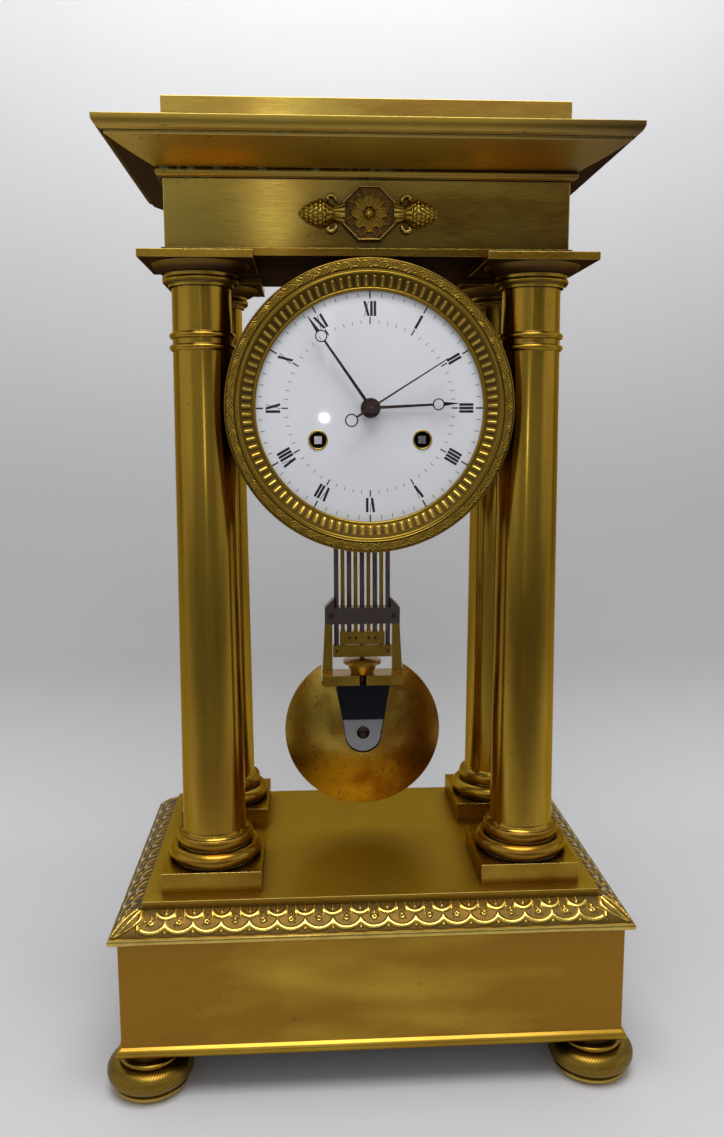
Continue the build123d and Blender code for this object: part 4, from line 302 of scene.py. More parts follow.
def rubbed_brass(name, finish, grain, rough=0.2, toned=0.5, cloud=(34, 34, 34), pull=0.0, lean=0.0,
                 grime_and_shade=0.75, worn=0.0, under=(-0.86, -0.97), pits=0.69, bloom=0.0, pale=0.0, coat=0.1,
                 tarnish=0.0, wave=0.02):
    """Gilt brass, polished and rubbed one way: streaks, clouds of toning, corners and undersides darkened by
    patina and painted shade, edges brightened by wear and a painted highlight.

    Real rubbing marks are hundredths of a millimetre wide, so they are drawn as coarse as they need to show.
    grain, cloud: size in mm of the rubbing marks and of the clouds; wave: depth in mm of the marks
    rough, coat: roughness, and weight of the old lacquer; pull: how far highlights stretch upright
    toned, lean, worn: share of toning, how much more to the right in each metre, how much more at the ends
    grime_and_shade, under: share of dirt and painted shade in corners, and the normal's Z between which
    undersides get painted shade
    pits, tarnish, bloom: level of stain spots, share of stain at the right, of copper salts on the left
    pale: share of thinner, paler gilding
    """
    made, tree, place, streak, drift, spot = begin(name, (grain, 3.0), (cloud, 3.0), ((3, 3, 3), 6.0))
    aside = node(tree, "SeparateXYZ", [place], "X")
    corner = node(tree, "AmbientOcclusion", {"Distance": 12 * MM}, "AO", samples=6)
    round_off = node(tree, "Bevel", {"Radius": 0.45 * MM}, samples=4)
    flat = node(tree, "NewGeometry", out="Normal")
    bend = node(tree, "VectorMath", (round_off, flat), "Value", operation="DOT_PRODUCT")
    level = node(tree, "SeparateXYZ", [flat], "Z")
    down = node(tree, "MapRange", (level, *under, 0.0, 0.9))
    if lean:
        drift = node(tree, "Math", (aside, lean, drift), operation="MULTIPLY_ADD")
    if worn:
        away = node(tree, "Math", [aside], operation="ABSOLUTE")
        ends = node(tree, "MapRange", (away, 40 * MM, 120 * MM, 0.0, worn))
        drift = node(tree, "Math", (drift, ends))
    gilding = tuple(np.array(finish.brass) * (1 - pale) + np.array(finish.lemon) * pale)
    # Corners, found by ambient occlusion, and undersides, found by the normal's Z, turn to patina: oxide and
    # painted shade. Edges, found by the bevel, turn to bright gold: wear and a painted highlight.
    tint = layered(tree, gilding,
                   (drift, 0.34, 0.66, toned, finish.brown),
                   (streak, 0.35, 0.8, 0.18, finish.brown),
                   (spot, pits, pits + 0.08, 0.55, finish.patina_and_shade),
                   (aside, 50 * MM, 118 * MM, tarnish, finish.patina_and_shade),
                   (corner, 0.85, 0.25, grime_and_shade, finish.patina_and_shade),
                   (level, *under, 0.9, finish.patina_and_shade),
                   (bend, 0.995, 0.9, 0.7, finish.ridge))
    metal = 1.0
    if bloom:
        crust = node(tree, "MapRange", (aside, 30 * MM, -20 * MM, 0.0, bloom))
        for value, bare, full in ((corner, 0.56, 0.46), (spot, 0.54, 0.62)):
            share = node(tree, "MapRange", (value, bare, full))
            crust = node(tree, "Math", (crust, share), operation="MULTIPLY")
        tint = layered(tree, tint, (crust, 0.0, 1.0, 1.0, finish.verdigris))
        metal = node(tree, "MapRange", (crust, 0.0, 0.6, 1.0, 0.0))
    rub = node(tree, "MapRange", (streak, 0.25, 0.75, rough - 0.03, rough + 0.05))
    skin = {
        "Base Color": tint,
        "Metallic": metal,
        "Roughness": node(tree, "Math", (down, 0.35, rub), operation="MULTIPLY_ADD"),
        # Reflections on undersides are darkened as well: painted shade
        "Specular Tint": layered(tree, finish.ridge, (level, *under, 0.9, finish.patina_and_shade)),
        "Coat Weight": node(tree, "MapRange", (down, 0.0, 0.5, coat, 0.0)),
        "Coat Roughness": 0.14,
        "Normal": node(tree, "Bump", {"Height": streak, "Strength": 0.08, "Distance": wave * MM,
                                      "Normal": round_off}),
    }
    if pull:
        skin["Anisotropic"] = pull
        skin["Tangent"] = node(tree, "CombineXYZ", (0.05, 0.02, 1.0))
    node(tree, "OutputMaterial", {"Surface": node(tree, "BsdfPrincipled", skin)})
    return made


def chased_brass(name, finish, rough=0.24):
    """Gilt brass, cast and chased, coloured by the relief: ridges rubbed bright and painted brighter as a
    highlight, a matted and toned ground, the deep cuts darkened by dirt and painted shade.

    The skin of the casting is drawn coarser than its real grit, so that it shows.
    """
    made, tree, _, drift, casting = begin(name, ((9, 9, 9), 3.0), ((0.9, 0.9, 0.9), 2.0))
    height = node(tree, "Attribute", out="Fac", attribute_name="relief")
    # Low relief turns to patina and ground, high relief to bright gold: painted shade in the cuts and a
    # painted highlight on the ridges, with matting, dirt and wear
    tint = layered(tree, finish.patina_and_shade,
                   (height, 0.0, 0.2, 1.0, finish.ground),
                   (height, 0.25, 0.75, 1.0, finish.brass),
                   (height, 0.7, 1.0, 0.75, finish.ridge),
                   (drift, 0.45, 0.75, 0.4, finish.brown))
    skin = {
        "Base Color": tint,
        "Metallic": 1.0,
        "Roughness": node(tree, "MapRange", (height, 0.1, 0.9, rough + 0.2, rough - 0.04)),
        "Normal": node(tree, "Bump", {"Height": casting, "Strength": 0.3, "Distance": 0.08 * MM}),
    }
    node(tree, "OutputMaterial", {"Surface": node(tree, "BsdfPrincipled", skin)})
    return made


def plain_metal(name, tone, dull, rough, grain, *changes):
    """Machined metal: one tone clouded by a duller one, fine marks of the tool along its grain.

    The marks are finer on real metal, and are drawn as coarse as they need to show.
    Each change (axis, mm, softness in mm, tone) turns to another tone past a place along an axis, or before
    it where the softness is negative.
    """
    made, tree, place, mark, drift = begin(name, (grain, 3.0), ((12, 12, 12), 3.0))
    tint = layered(tree, tone, (drift, 0.4, 0.75, 0.6, dull))
    for axis, at, soft, other in changes:
        along = node(tree, "SeparateXYZ", [place], axis)
        tint = layered(tree, tint, (along, (at - soft) * MM, (at + soft) * MM, 1.0, other))
    skin = {
        "Base Color": tint,
        "Metallic": 1.0,
        "Roughness": node(tree, "MapRange", (mark, 0.25, 0.75, rough - 0.03, rough + 0.05)),
        "Normal": node(tree, "Bump", {"Height": mark, "Strength": 0.03, "Distance": 0.02 * MM}),
    }
    node(tree, "OutputMaterial", {"Surface": node(tree, "BsdfPrincipled", skin)})
    return made


def fired_enamel(name, tone, shade, rough=0.055):
    """Fired glass enamel: even body with a faint cloud, glossy skin with a slight orange-peel wave."""
    made, tree, _, drift, wave = begin(name, ((22, 22, 22), 3.0), ((3, 3, 3), 1.0))
    skin = {
        "Base Color": layered(tree, tone, (drift, 0.35, 0.75, 0.5, shade)),
        "Roughness": rough,
        "IOR": 1.52,
        "Normal": node(tree, "Bump", {"Height": wave, "Strength": 0.05, "Distance": 0.05 * MM}),
    }
    node(tree, "OutputMaterial", {"Surface": node(tree, "BsdfPrincipled", skin)})
    return made


# Where one finish gives way to another on a node

# Winding arbors: from here back, inside the holes, they turn black as painted shade
HOLE_SHADE_FROM_Y = -52.2  # winding arbors, behind the dial's front
PIPE_END_Y = -50.0  # steel pipes that carry the hands
# Above this the shield takes a painted dark reflection
TONGUE_TOP_Z = 154.5  # bright tongue of the bob's shield
SCREW_FACE_Y = 9.55  # screw of the shield
TOP_BAR_Z = 206.6  # browned bar of the stirrup


def dress(finish, *names):
    """Gives CAD nodes a finish."""
    for name in names:
        for slot in NODES[name].material_slots:
            slot.material = finish


class CLOCK_OT_case(bpy.types.Operator):
    """Finishes the case: flats, columns and mouldings"""

    bl_idname = "clock.case"
    bl_label = "Finish the case"

    def execute(self, context):
        finish = context.scene.clock_finish
        # Plate rubbed from end to end: soft streaks of light, browner at both ends
        long_grain = rubbed_brass("Gilt brass, flats rubbed lengthwise", finish, (9, 9, 0.3), rough=0.16,
                                  toned=0.8, cloud=(70, 70, 20), pull=0.3, worn=0.45)
        # Thinner gilding under lacquer: pale lemon on the left, toned to brown on the right
        frieze = rubbed_brass("Gilt brass, frieze rubbed lengthwise", finish, (7, 7, 0.3), rough=0.14,
                              toned=0.7, cloud=(50, 50, 18), pull=0.35, lean=1.6, pale=1.0, coat=0.25)
        # Drawn moulding: a satin sheen, with little dirt and painted shade in its hollows
        satin = rubbed_brass("Gilt brass, moulding drawn through a die", finish, (9, 9, 0.3), rough=0.3,
                             cloud=(70, 70, 20), grime_and_shade=0.4)
        # Tube drawn lengthwise: highlights pulled upright, stains here and there
        upright = rubbed_brass("Gilt brass, turned and drawn", finish, (0.9, 0.9, 26), rough=0.19, pits=0.66,
                               cloud=(16, 16, 90), pull=0.6, toned=0.65)
        # Turned rings: painted shade, brown, below each swelling where the surface faces down
        turned = rubbed_brass("Gilt brass, turned rings", finish, (9, 9, 0.35), rough=0.26, toned=0.95,
                              coat=0.05, under=(-0.1, -0.75))
        # Dusted top face: dull, with blurred images of what stands on it
        top = rubbed_brass("Gilt brass, top face rubbed", finish, (16, 0.6, 0.6), rough=0.42, toned=0.15)
        dress(long_grain, "base_plinth_box", "soffit_plate")
        dress(frieze, "frieze_box", "attic_block")
        dress(satin, "base_lower_moulding")
        dress(top, "base_top_slab")
        for corner in ("front_left", "front_right", "rear_left", "rear_right"):
            dress(upright, "column_shaft_" + corner)
            dress(turned, "column_base_" + corner, "column_capital_" + corner)
        return {"FINISHED"}


class CLOCK_OT_movement(bpy.types.Operator):
    """Finishes the movement, the drum and the bell"""

    bl_idname = "clock.movement"
    bl_label = "Finish the movement"

    def execute(self, context):
        finish = context.scene.clock_finish
        # Milled plate: even brass with faint level marks
        brass = plain_metal("Movement brass, milled", finish.movement, finish.brown, 0.28, (6, 6, 0.5))
        # Rolled sheet: marks run along the drum, dull from handling
        drum = rubbed_brass("Gilt brass, rolled drum", finish, (0.5, 12, 12), rough=0.34)
        # Turned bell metal: fine rings and a soft shine
        bell = plain_metal("Bell metal, turned", finish.movement, finish.brass, 0.24, (6, 6, 0.4))
        # Polished steel: cool grey with drawn marks
        steel = plain_metal("Steel, polished", finish.steel, finish.dark_steel, 0.22, (0.4, 5, 0.4))
        # Winding squares: bright in front, black inside the holes as painted shade
        arbor = plain_metal("Steel arbors, painted shade behind the dial", finish.steel, finish.dark_steel, 0.2,
                            (0.4, 5, 0.4), ("Y", HOLE_SHADE_FROM_Y, 0.5, finish.ink))
        # Wheels pinned to steel pipes: dark where the hands sit, brass behind the dial
        front = plain_metal("Brass wheel on a steel arbor", finish.dark_steel, finish.dark_steel, 0.26,
                            (6, 6, 0.5), ("Y", PIPE_END_Y, 0.5, finish.movement))
        dress(drum, "movement_drum", "drum_saddle")
        dress(brass, "front_plate", "back_plate", "movement_pillars", "suspension_cock", "going_barrel",
              "intermediate_wheel", "third_wheel", "minute_wheel", "strike_barrel", "strike_second_wheel",
              "count_wheel", "pin_wheel", "fly")
        dress(bell, "bell")
        dress(front, "escape_wheel", "centre_wheel", "cannon_pinion", "hour_wheel")
        dress(arbor, "going_winding_arbor", "strike_winding_arbor")
        dress(steel, "bell_stand", "column_tie_rods", "pallets", "hammer")
        return {"FINISHED"}


class CLOCK_OT_pendulum(bpy.types.Operator):
    """Finishes the gridiron, the stirrup, the bob and its shield"""

    bl_idname = "clock.pendulum"
    bl_label = "Finish the pendulum"

    def execute(self, context):
        finish = context.scene.clock_finish
        # Drawn and filed brass: quiet yellow, slightly clouded
        brass = plain_metal("Brass rods and bars, drawn", finish.movement, finish.brown, 0.27, (20, 20, 20))
        # Browned steel: dark and satin, marked lengthwise
        rods = plain_metal("Steel rods, browned", finish.dark_steel, finish.blue, 0.34, (0.5, 0.5, 9))
        # Hammered and burnished lens: lemon on the left, brown on the right, stained, images broken by waves
        lens = rubbed_brass("Gilt brass, burnished bob", finish, (7, 7, 7), rough=0.28, toned=0.9,
                            cloud=(13, 13, 13), lean=8.0, pits=0.62, pale=0.7, wave=3.0)
        # Polished steel with a painted dark reflection above its ground bright tongue, with a dark screw
        shield = plain_metal("Steel shield, painted dark reflection above, ground below", finish.steel, finish.steel, 0.2,
                             (0.7, 0.7, 0.7), ("Z", TONGUE_TOP_Z, 0.25, finish.shade),
                             ("Y", SCREW_FACE_Y, -0.05, finish.blue))
        # Filed brass frame whose top bar is browned like steel
        stirrup = plain_metal("Brass stirrup, its top bar browned", finish.movement, finish.brown, 0.26,
                              (20, 20, 20), ("Z", TOP_BAR_Z, 0.3, finish.dark_steel))
        dress(brass, "gridiron_brass_rods", "gridiron_crossbars", "rating_nut")
        dress(stirrup, "bob_stirrup")
        dress(rods, "gridiron_steel_rods")
        dress(lens, "bob")
        dress(shield, "bob_plate")
        return {"FINISHED"}


class CLOCK_OT_dial(bpy.types.Operator):
    """Finishes the dial and the hands"""

    bl_idname = "clock.dial"
    bl_label = "Finish the dial"

    def execute(self, context):
        finish = context.scene.clock_finish
        # White enamel on copper: glossy, so lamps show as small sharp spots
        shade = tuple(0.93 * value for value in finish.enamel[:3]) + (1.0,)
        white = fired_enamel("White dial enamel, fired", finish.enamel, shade)
        # Steel tempered by heat: almost black, with a violet or red brown glint
        blue = plain_metal("Steel hands, tempered", finish.blue, finish.dark_steel, 0.3, (0.5, 0.5, 0.5))
        red = plain_metal("Steel seconds hand, tempered red brown", finish.seconds, finish.blue, 0.3,
                          (0.5, 0.5, 0.5))
        dress(white, "dial")
        dress(blue, "hour_hand", "minute_hand")
        dress(red, "seconds_hand")
        return {"FINISHED"}


# Ornament

PLAIN, LEAVES, BEAD, RIBS = range(4)


def bezel_loop():
    """Section of the bezel (radius, depth behind the front) from its outer back, with bands and shares."""
    parts = (
        (line((66.2, 6.6), (66.2, 1.1), 3), PLAIN),
        (arc((66.2, 0.9), (66.0, 0.5), (65.6, 0.35), 4), PLAIN),
        (line((65.5, 0.4), (61.5, 0.4), 21), LEAVES),
        (arc((61.35, 0.3), (61.0, 0.0), (60.6, 0.22), 4), BEAD),
        (arc((60.4, 0.22), (60.0, 0.0), (59.5, 0.3), 4), BEAD),
        (arc((59.3, 0.5), (56.4, 1.4), (53.7, 2.6), 19), RIBS),
        (arc((53.6, 2.55), (52.7, 2.2), (52.1, 3.0), 5), BEAD),
        (line((52.1, 4.3), (54.2, 4.3), 2), PLAIN),
        (line((54.2, 6.6), (54.2, 6.6), 1), PLAIN),
    )
    loop = np.concatenate([points for points, _ in parts])
    band = np.concatenate([np.full(len(points), kind) for points, kind in parts])
    share = np.concatenate([np.linspace(0, 1, len(points)) for points, _ in parts])
    return loop, band, share


def bezel_surface(ornament):
    """Bezel: section (radius, depth) swept round the dial.

    The inner band rises in half-rounds with a spindle on each, and the border in a vine, a sine round the
    dial, with veins that slant away from it on both sides.
    """
    loop, band, share = bezel_loop()
    theta = circle(ornament.rib_count * 16)[:, None]
    aside = np.abs(np.mod(ornament.rib_count * theta / (2 * math.pi), 1) - 0.5)
    spindle = ridge(aside, (0.19 - 0.06 * share)[None, :])
    shoulder = np.sqrt(np.clip(1 - (aside / 0.42) ** 4, 0, 1))
    ends = (step(share, 0.16, 0.26) * step(share, 0.99, 0.9))[None, :]
    ribs = (0.3 * shoulder + 0.62 * spindle) * ends + 0.08 + 0.22 * (1 - ends)
    stem = np.abs((share - 0.5)[None, :] - 0.27 * np.sin(ornament.leaf_count * theta))
    vine = np.clip(1 - stem / 0.1, 0, 1)
    veins = np.cos(7 * ornament.leaf_count * theta + 16 * stem) * step(stem, 0.1, 0.2)
    edge = step(np.minimum(share, 1 - share), 0.02, 0.12)[None, :]
    leaves = (0.34 + 0.5 * np.maximum(vine, np.clip(veins, 0, 1))) * edge
    relief = np.select([band == RIBS, band == LEAVES, band == BEAD], [ribs, leaves, 0.5], 0.42)
    rise = np.select([band == RIBS, band == LEAVES], [0.6 * ribs, 0.4 * leaves - 0.15], 0.0)
    radius = loop[:, 0] + 0.2 * np.where(band == RIBS, ribs, 0)
    y = BEZEL_FRONT + loop[:, 1] - rise
    return np.stack([radius * np.sin(theta), y, DIAL_Z + radius * np.cos(theta)], -1), relief


class CLOCK_OT_bezel(bpy.types.Operator):
    """Makes the bezel with its ribbed inner band and chased border"""

    bl_idname = "clock.bezel"
    bl_label = "Make the bezel"

    def execute(self, context):
        points, relief = bezel_surface(context.scene.clock_ornament)
        # Cast ring chased by hand: bright ribs over a brown ground; the ribs carry a painted highlight, the
        # ground painted shade
        finish = chased_brass("Gilt brass, bezel cast and chased", context.scene.clock_finish)
        piece("bezel_chased", [grid(points, relief, wrap_u=True, wrap_v=True)], "case", finish,
              ["bezel"])
        return {"FINISHED"}


def mitred(section, share, long_half, short_half, turn):
    """Moulding length: section (offset, z) swept along X to share of its half length, then turned."""
    x = share * (long_half + section[..., 0])
    y = -(short_half + section[..., 0]) + 0 * x
    cos, sin = round(math.cos(turn)), round(math.sin(turn))
    return np.stack([x * cos - y * sin, x * sin + y * cos, section[..., 1] + 0 * x], -1)


def sides(halves):
    """Name, half length, half distance and turn of a frame's four sides, from the front round."""
    return [(name, halves[index % 2], halves[1 - index % 2], index * math.pi / 2)
            for index, name in enumerate(("front", "right", "rear", "left"))]


def cornice_section():
    """Section of the cornice (offset, z): bead, even slope sagged by a sine, fillet, hollow and top edge."""
    foot, top, seat = CORNICE_FOOT, CORNICE_TOP, -5
    rise = np.linspace(0, 1, 25)
    slope = np.stack([3.0 + 18.0 * rise, foot + 3.8 + 8.4 * (rise - 0.05 * np.sin(math.pi * rise))], -1)
    return np.concatenate([line((seat, foot), (1.2, foot), 2),
                           arc((1.2, foot + 0.1), (3.0, foot + 1.9), (1.2, foot + 3.7), 13),
                           line((1.2, foot + 3.8), (2.9, foot + 3.8), 2),
                           slope,
                           line((21.0, foot + 13.6), (22.4, foot + 13.6), 2),
                           arc((22.5, foot + 13.7), (24.8, foot + 15.56), (25.6, foot + 17.52), 12),
                           line((25.6, top), (seat, top), 2)])


class CLOCK_OT_cornice(bpy.types.Operator):
    """Makes the cornice's four lengths with an even slope"""

    bl_idname = "clock.cornice"
    bl_label = "Make the cornice"

    def execute(self, context):
        finish = context.scene.clock_finish
        # Drawn moulding: satin slope, tarnished on the right, pale green salts in the groove on the left
        # The returns get painted shade, brown, over more of their down-facing slope
        front, returns = (rubbed_brass("Gilt brass, cornice drawn through a die, " + place, finish,
                                       (9, 9, 0.3), rough=0.42, toned=0.2, cloud=(70, 70, 20), grime_and_shade=0.35,
                                       lean=1.4, under=slant, pits=0.66, bloom=1.0, tarnish=0.8, coat=0.35,
                                       pale=0.6)
                          for place, slant in (("front", (-0.985, -0.999)), ("returns", (-0.6, -0.88))))
        section = cornice_section()
        share = np.linspace(-1, 1, 9)[:, None]
        for name, *way in sides(FRIEZE_HALVES):
            points = mitred(section, share, *way)
            piece("cornice_" + name, [grid(points, wrap_v=True, cap=True)], "case",
                  front if name in ("front", "rear") else returns, ["cornice"])
        return {"FINISHED"}


def scale_relief(along, down, reach, pitch):
    """Height share of the scale ornament, fading to a leaf at a mitre.

    It is the highest of rounded ridges along scallop curves, stems, rings and dots. A scallop's curve is its
    top plus its drop times a power of one minus the square of the distance from its middle.
    along: mm from the middle; down: 0 at the slab, 1 at the foot of the slope; reach: mm to the mitre
    """
    slant, half, leaf_reach = 13.3, pitch / 2, 10.2
    low = np.mod(along + half, pitch) - half
    high = np.mod(along, pitch) - half

    def scallop(offset, across, top, drop, bend):
        base = np.clip(1 - (offset / across) ** 2, 1e-4, 1)
        curve = top + drop * base ** bend
        slope = drop * bend * base ** (bend - 1) * 2 * np.abs(offset) / across ** 2 * slant
        gap = np.abs(down - curve) * slant / np.sqrt(1 + slope ** 2)
        return np.where(np.abs(offset) < across, ridge(gap, 1.2), 0)

    lower = scallop(low, half, 0.57, 0.29, 0.6)
    upper = scallop(high, 4.7, 0.0, 0.38, 0.5)
    upper_side = ridge(np.abs(high) - 4.5, 0.7) * step(down, 0.16, 0.02)
    stem = ridge(high, 0.6) * step(down, 0.27, 0.2)
    inner = ridge(low, 0.45) * step(down, 0.26, 0.3) * step(down, 0.5, 0.46)
    ring = ridge(np.hypot(low, (down - 0.535) * slant) - 0.85, 0.5)
    dot = ridge(np.hypot(high, (down - 0.86) * slant), 0.75)
    pattern = np.max([lower, upper, upper_side, 0.9 * stem, 0.8 * inner, ring, 0.8 * dot], axis=0)
    bow = np.sin(math.pi * np.clip(down, 0, 1))
    tip = np.abs(down - 0.62) * slant * 0.9 - (reach - 8.0)
    leaf = np.max([ridge(reach - 1.6 - 5.0 * bow ** 1.3, 0.9), ridge(reach - 0.9 - 1.6 * bow, 0.8),
                   0.9 * ridge(tip, 0.7)], axis=0)
    pattern = pattern * step(reach, leaf_reach, leaf_reach + 0.6)
    whole = np.where(reach < leaf_reach, leaf, pattern) * step(down, -0.01, 0.04)
    return 0.16 + 0.84 * whole * step(down, 1.0, 0.95)


def rim_length(long_half, short_half, turn, ornament):
    """One mitred length of the rim: section (offset, z) swept along it, its slope raised by the scales."""
    foot, top, seat, point_gap = RIM_FOOT, RIM_TOP, -30, 0.42
    bead = arc((-0.64, foot), (0, foot + 1.6), (-0.64, foot + 3.2), 7)
    slope = arc((-1.6, foot + 3.2), (-6.73, foot + 8.0), (-13.0, foot + 11.2), 44)
    parts = (line((seat, foot), (-7.5, foot), 2), bead, slope, line((-13.0, top), (seat, top), 2))
    section = np.concatenate(parts)
    on_slope = np.concatenate([np.full(len(part), part is slope) for part in parts])
    on_bead = np.concatenate([np.full(len(part), part is bead) for part in parts])
    down = np.zeros(len(section))
    down[on_slope] = np.linspace(1, 0, len(slope))
    tangent = np.gradient(section, axis=0)
    normal = np.abs(tangent[:, ::-1]) / np.linalg.norm(tangent, axis=1, keepdims=True)
    share = np.linspace(-1, 1, int(2 * long_half / point_gap))[:, None]
    along = share * (long_half + section[:, 0])
    reach = (1 - np.abs(share)) * (long_half + section[:, 0])
    height = scale_relief(along, down, reach, ornament.scale_pitch / MM)
    # The bead is coloured bright as a painted highlight
    relief = np.where(on_slope, height, np.where(on_bead, 0.95, 0.4))
    rise = np.where(on_slope, height * ornament.chase_depth / MM, 0)
    raised = section + rise[..., None] * normal
    return mitred(raised, share, long_half, short_half, turn), relief


class CLOCK_OT_rim(bpy.types.Operator):
    """Makes the rim moulding's four lengths with their scale ornament"""

    bl_idname = "clock.rim"
    bl_label = "Make the rim moulding"

    def execute(self, context):
        # Cast moulding chased by hand: scales outlined in bright gold over a dark ground; the outlines carry
        # a painted highlight, the ground painted shade
        finish = chased_brass("Gilt brass, rim cast and chased", context.scene.clock_finish)
        for name, *way in sides(RIM_HALVES):
            points, relief = rim_length(*way, context.scene.clock_ornament)
            piece("rim_" + name, [grid(points, relief, wrap_v=True, cap=True)], "case", finish,
                  ["base_rim_moulding"])
        return {"FINISHED"}


FEET_X, FEET_Y = 107.35, 67.5


def foot_surface(ornament):
    """Bun foot: section (r, z) turned about its axis, less a cosine of turn and z that hatches the body."""
    body = arc((17.75, 4.6), (20.5, 9.0), (13.6, 14.4), 20)
    parts = ((line((0, 0), (15, 0), 3), 0.3),
             (arc((15, 0), (17.475, 1.44), (18.1, 3.4), 6), 0.9),
             (line((17.4, 3.9), (17.45, 4.3), 2), 0.05),
             (body, 0.62),
             (line((13.0, 14.7), (13.0, 15.0), 2), 0.05),
             (arc((13.6, 15.1), (14.5, 16.1), (12.85, 17.4), 6), 0.55),
             (line((11, 17.5), (11, 20.8), 3), 0.08),
             (line((10.9, 20.8), (0, 20.8), 2), 0.05))
    # Each part's tone sets its colour: painted shade in the narrow steps, the neck and the hatching's cuts, a
    # painted highlight on the lower round
    section = np.concatenate([points for points, _ in parts])
    tone = np.concatenate([np.full(len(points), value) for points, value in parts])
    cut = np.concatenate([np.sin(np.linspace(0, math.pi, len(points))) ** 0.5 if points is body
                          else np.zeros(len(points)) for points, _ in parts])
    theta = circle(ornament.hatch_count * 6)[:, None]
    wave = (0.5 + 0.5 * np.cos(ornament.hatch_count * theta - 5.0 * section[:, 1])) * cut
    radius = section[:, 0] - 0.25 * wave
    points = np.stack([radius * np.cos(theta), radius * np.sin(theta), section[:, 1] + 0 * theta], -1)
    return points, tone - 0.45 * wave


class CLOCK_OT_feet(bpy.types.Operator):
    """Makes the four bun feet with slanted hatching"""

    bl_idname = "clock.feet"
    bl_label = "Make the feet"

    def execute(self, context):
        points, relief = foot_surface(context.scene.clock_ornament)
        feet = [grid(points + np.array([x, y, 0]), relief, wrap_u=True)
                for x in (-FEET_X, FEET_X) for y in (-FEET_Y, FEET_Y)]
        # Turned on a lathe and cut with a graver: a fine bright hatching, with painted shade in the cuts
        finish = chased_brass("Gilt brass, feet turned and hatched", context.scene.clock_finish, rough=0.26)
        piece("feet_hatched", feet, "case", finish, ["bun_feet"])
        return {"FINISHED"}


SINK = 0.1  # how far ornament reaches into the frieze


def rosette_surface():
    """Octagonal boss on a polar grid: a rim, eight veined petals, leaves at the corners and an eye.

    Petal and leaf are half widths that swell and close along the radius, each with a ridge on its edge.
    """
    eighth, apothem, rings = math.pi / 4, 12.0, 72
    theta = circle(384)[:, None]
    out = np.concatenate([np.linspace(0, 1, rings), [1.0, 0.0]])
    behind = np.arange(len(out)) >= rings
    side = np.mod(theta + eighth / 2, eighth) - eighth / 2
    edge = apothem / np.cos(side)
    r = out * edge
    bead = ridge(edge - r - 0.65, 0.6)
    width = 2.35 * ridge(r - 5.5, 3.0) ** 0.45
    across = np.abs(r * np.sin(side))
    inside = step(width - across, 0.0, 0.4)
    outline = ridge(width - across - 0.3, 0.34) * (width > 0.3)
    vein = np.clip(1 - across / 0.35, 0, 1)
    petal = inside * (0.2 + 0.25 * vein) + 0.6 * outline
    corner = np.abs(r * np.sin(np.mod(theta, eighth) - eighth / 2))
    sepal = 1.9 * ridge(r - 8.6, 2.5) ** 0.6
    leaf = ridge(sepal - corner - 0.3, 0.32) * (sepal > 0.3) * (1 - inside)
    lump = 0.7 + 0.3 * np.cos(7 * theta) * step(r, 0.5, 1.5)
    eye = np.sqrt(ridge(r, 2.5)) * lump
    relief = np.clip(0.1 + np.max([bead, 1.5 * petal, 1.1 * leaf, eye], axis=0), 0, 1)
    height = 2.2 + 1.1 * bead + 1.3 * petal * (r > 1.6) + 0.7 * leaf + 1.9 * eye
    y = FRIEZE_FACE + np.where(behind, SINK, -height)
    points = np.stack([r * np.cos(theta), y, FRIEZE_Z + r * np.sin(theta)], -1)
    return points, np.where(behind, 0.1, relief)


def half_turned(section, hand, lumps, ripple):
    """Half-round body lying on the frieze: section (distance along X, radius) turned half round.

    Scales are lumps, the root of a sine round it times a sine along it, set off by half in every other row.
    """
    around = np.linspace(0, 1, 64)
    front_share = 0.9
    behind = around > front_share
    angle = math.pi * np.clip(around / front_share, 0, 1)
    distance, radius = section[:, 0][:, None], section[:, 1][:, None]
    row = distance / ripple
    column = angle * lumps / math.pi + 0.5 * np.mod(np.floor(row), 2)
    scale = np.sqrt(np.abs(np.sin(math.pi * column) * np.sin(math.pi * row)))
    rise = radius + 0.6 * (scale - 0.5) * step(radius, 0.2, 2.0)
    back = np.interp(around, [front_share, 1.0], [-1, 1])
    x = hand * distance + 0 * angle
    y = FRIEZE_FACE + np.where(behind, SINK, -np.sin(angle) * rise)
    z = FRIEZE_Z + np.where(behind, back, np.cos(angle)) * rise
    return np.stack([x, y, z], -1), np.where(behind, 0.1, 0.15 + 0.75 * scale)


def scroll_surface(hand, lift):
    """Volute: a tube along the spiral r = 3.5 exp(-0.5 a) in the frieze's plane, closing to points."""
    t = np.linspace(0, 1, 60)[:, None]
    v = circle(12)
    turn = 5.6 * t
    thick = (1.15 - 0.5 * t) * np.sqrt(np.clip(1 - (2 * t - 1) ** 10, 0, 1))
    spin = 3.5 * np.exp(-0.5 * turn) + thick * np.cos(v)
    angle = math.radians(210) - turn
    x = hand * (17.9 + spin * np.cos(angle))
    y = FRIEZE_FACE - 1.2 - thick * np.sin(v)
    z = FRIEZE_Z + lift * (6.4 + spin * np.sin(angle))
    # Relief runs from the tube's back to its front: painted shade behind, a painted highlight in front
    return np.stack([x, y, z], -1), 0.45 + 0.45 * np.sin(v) + 0 * x


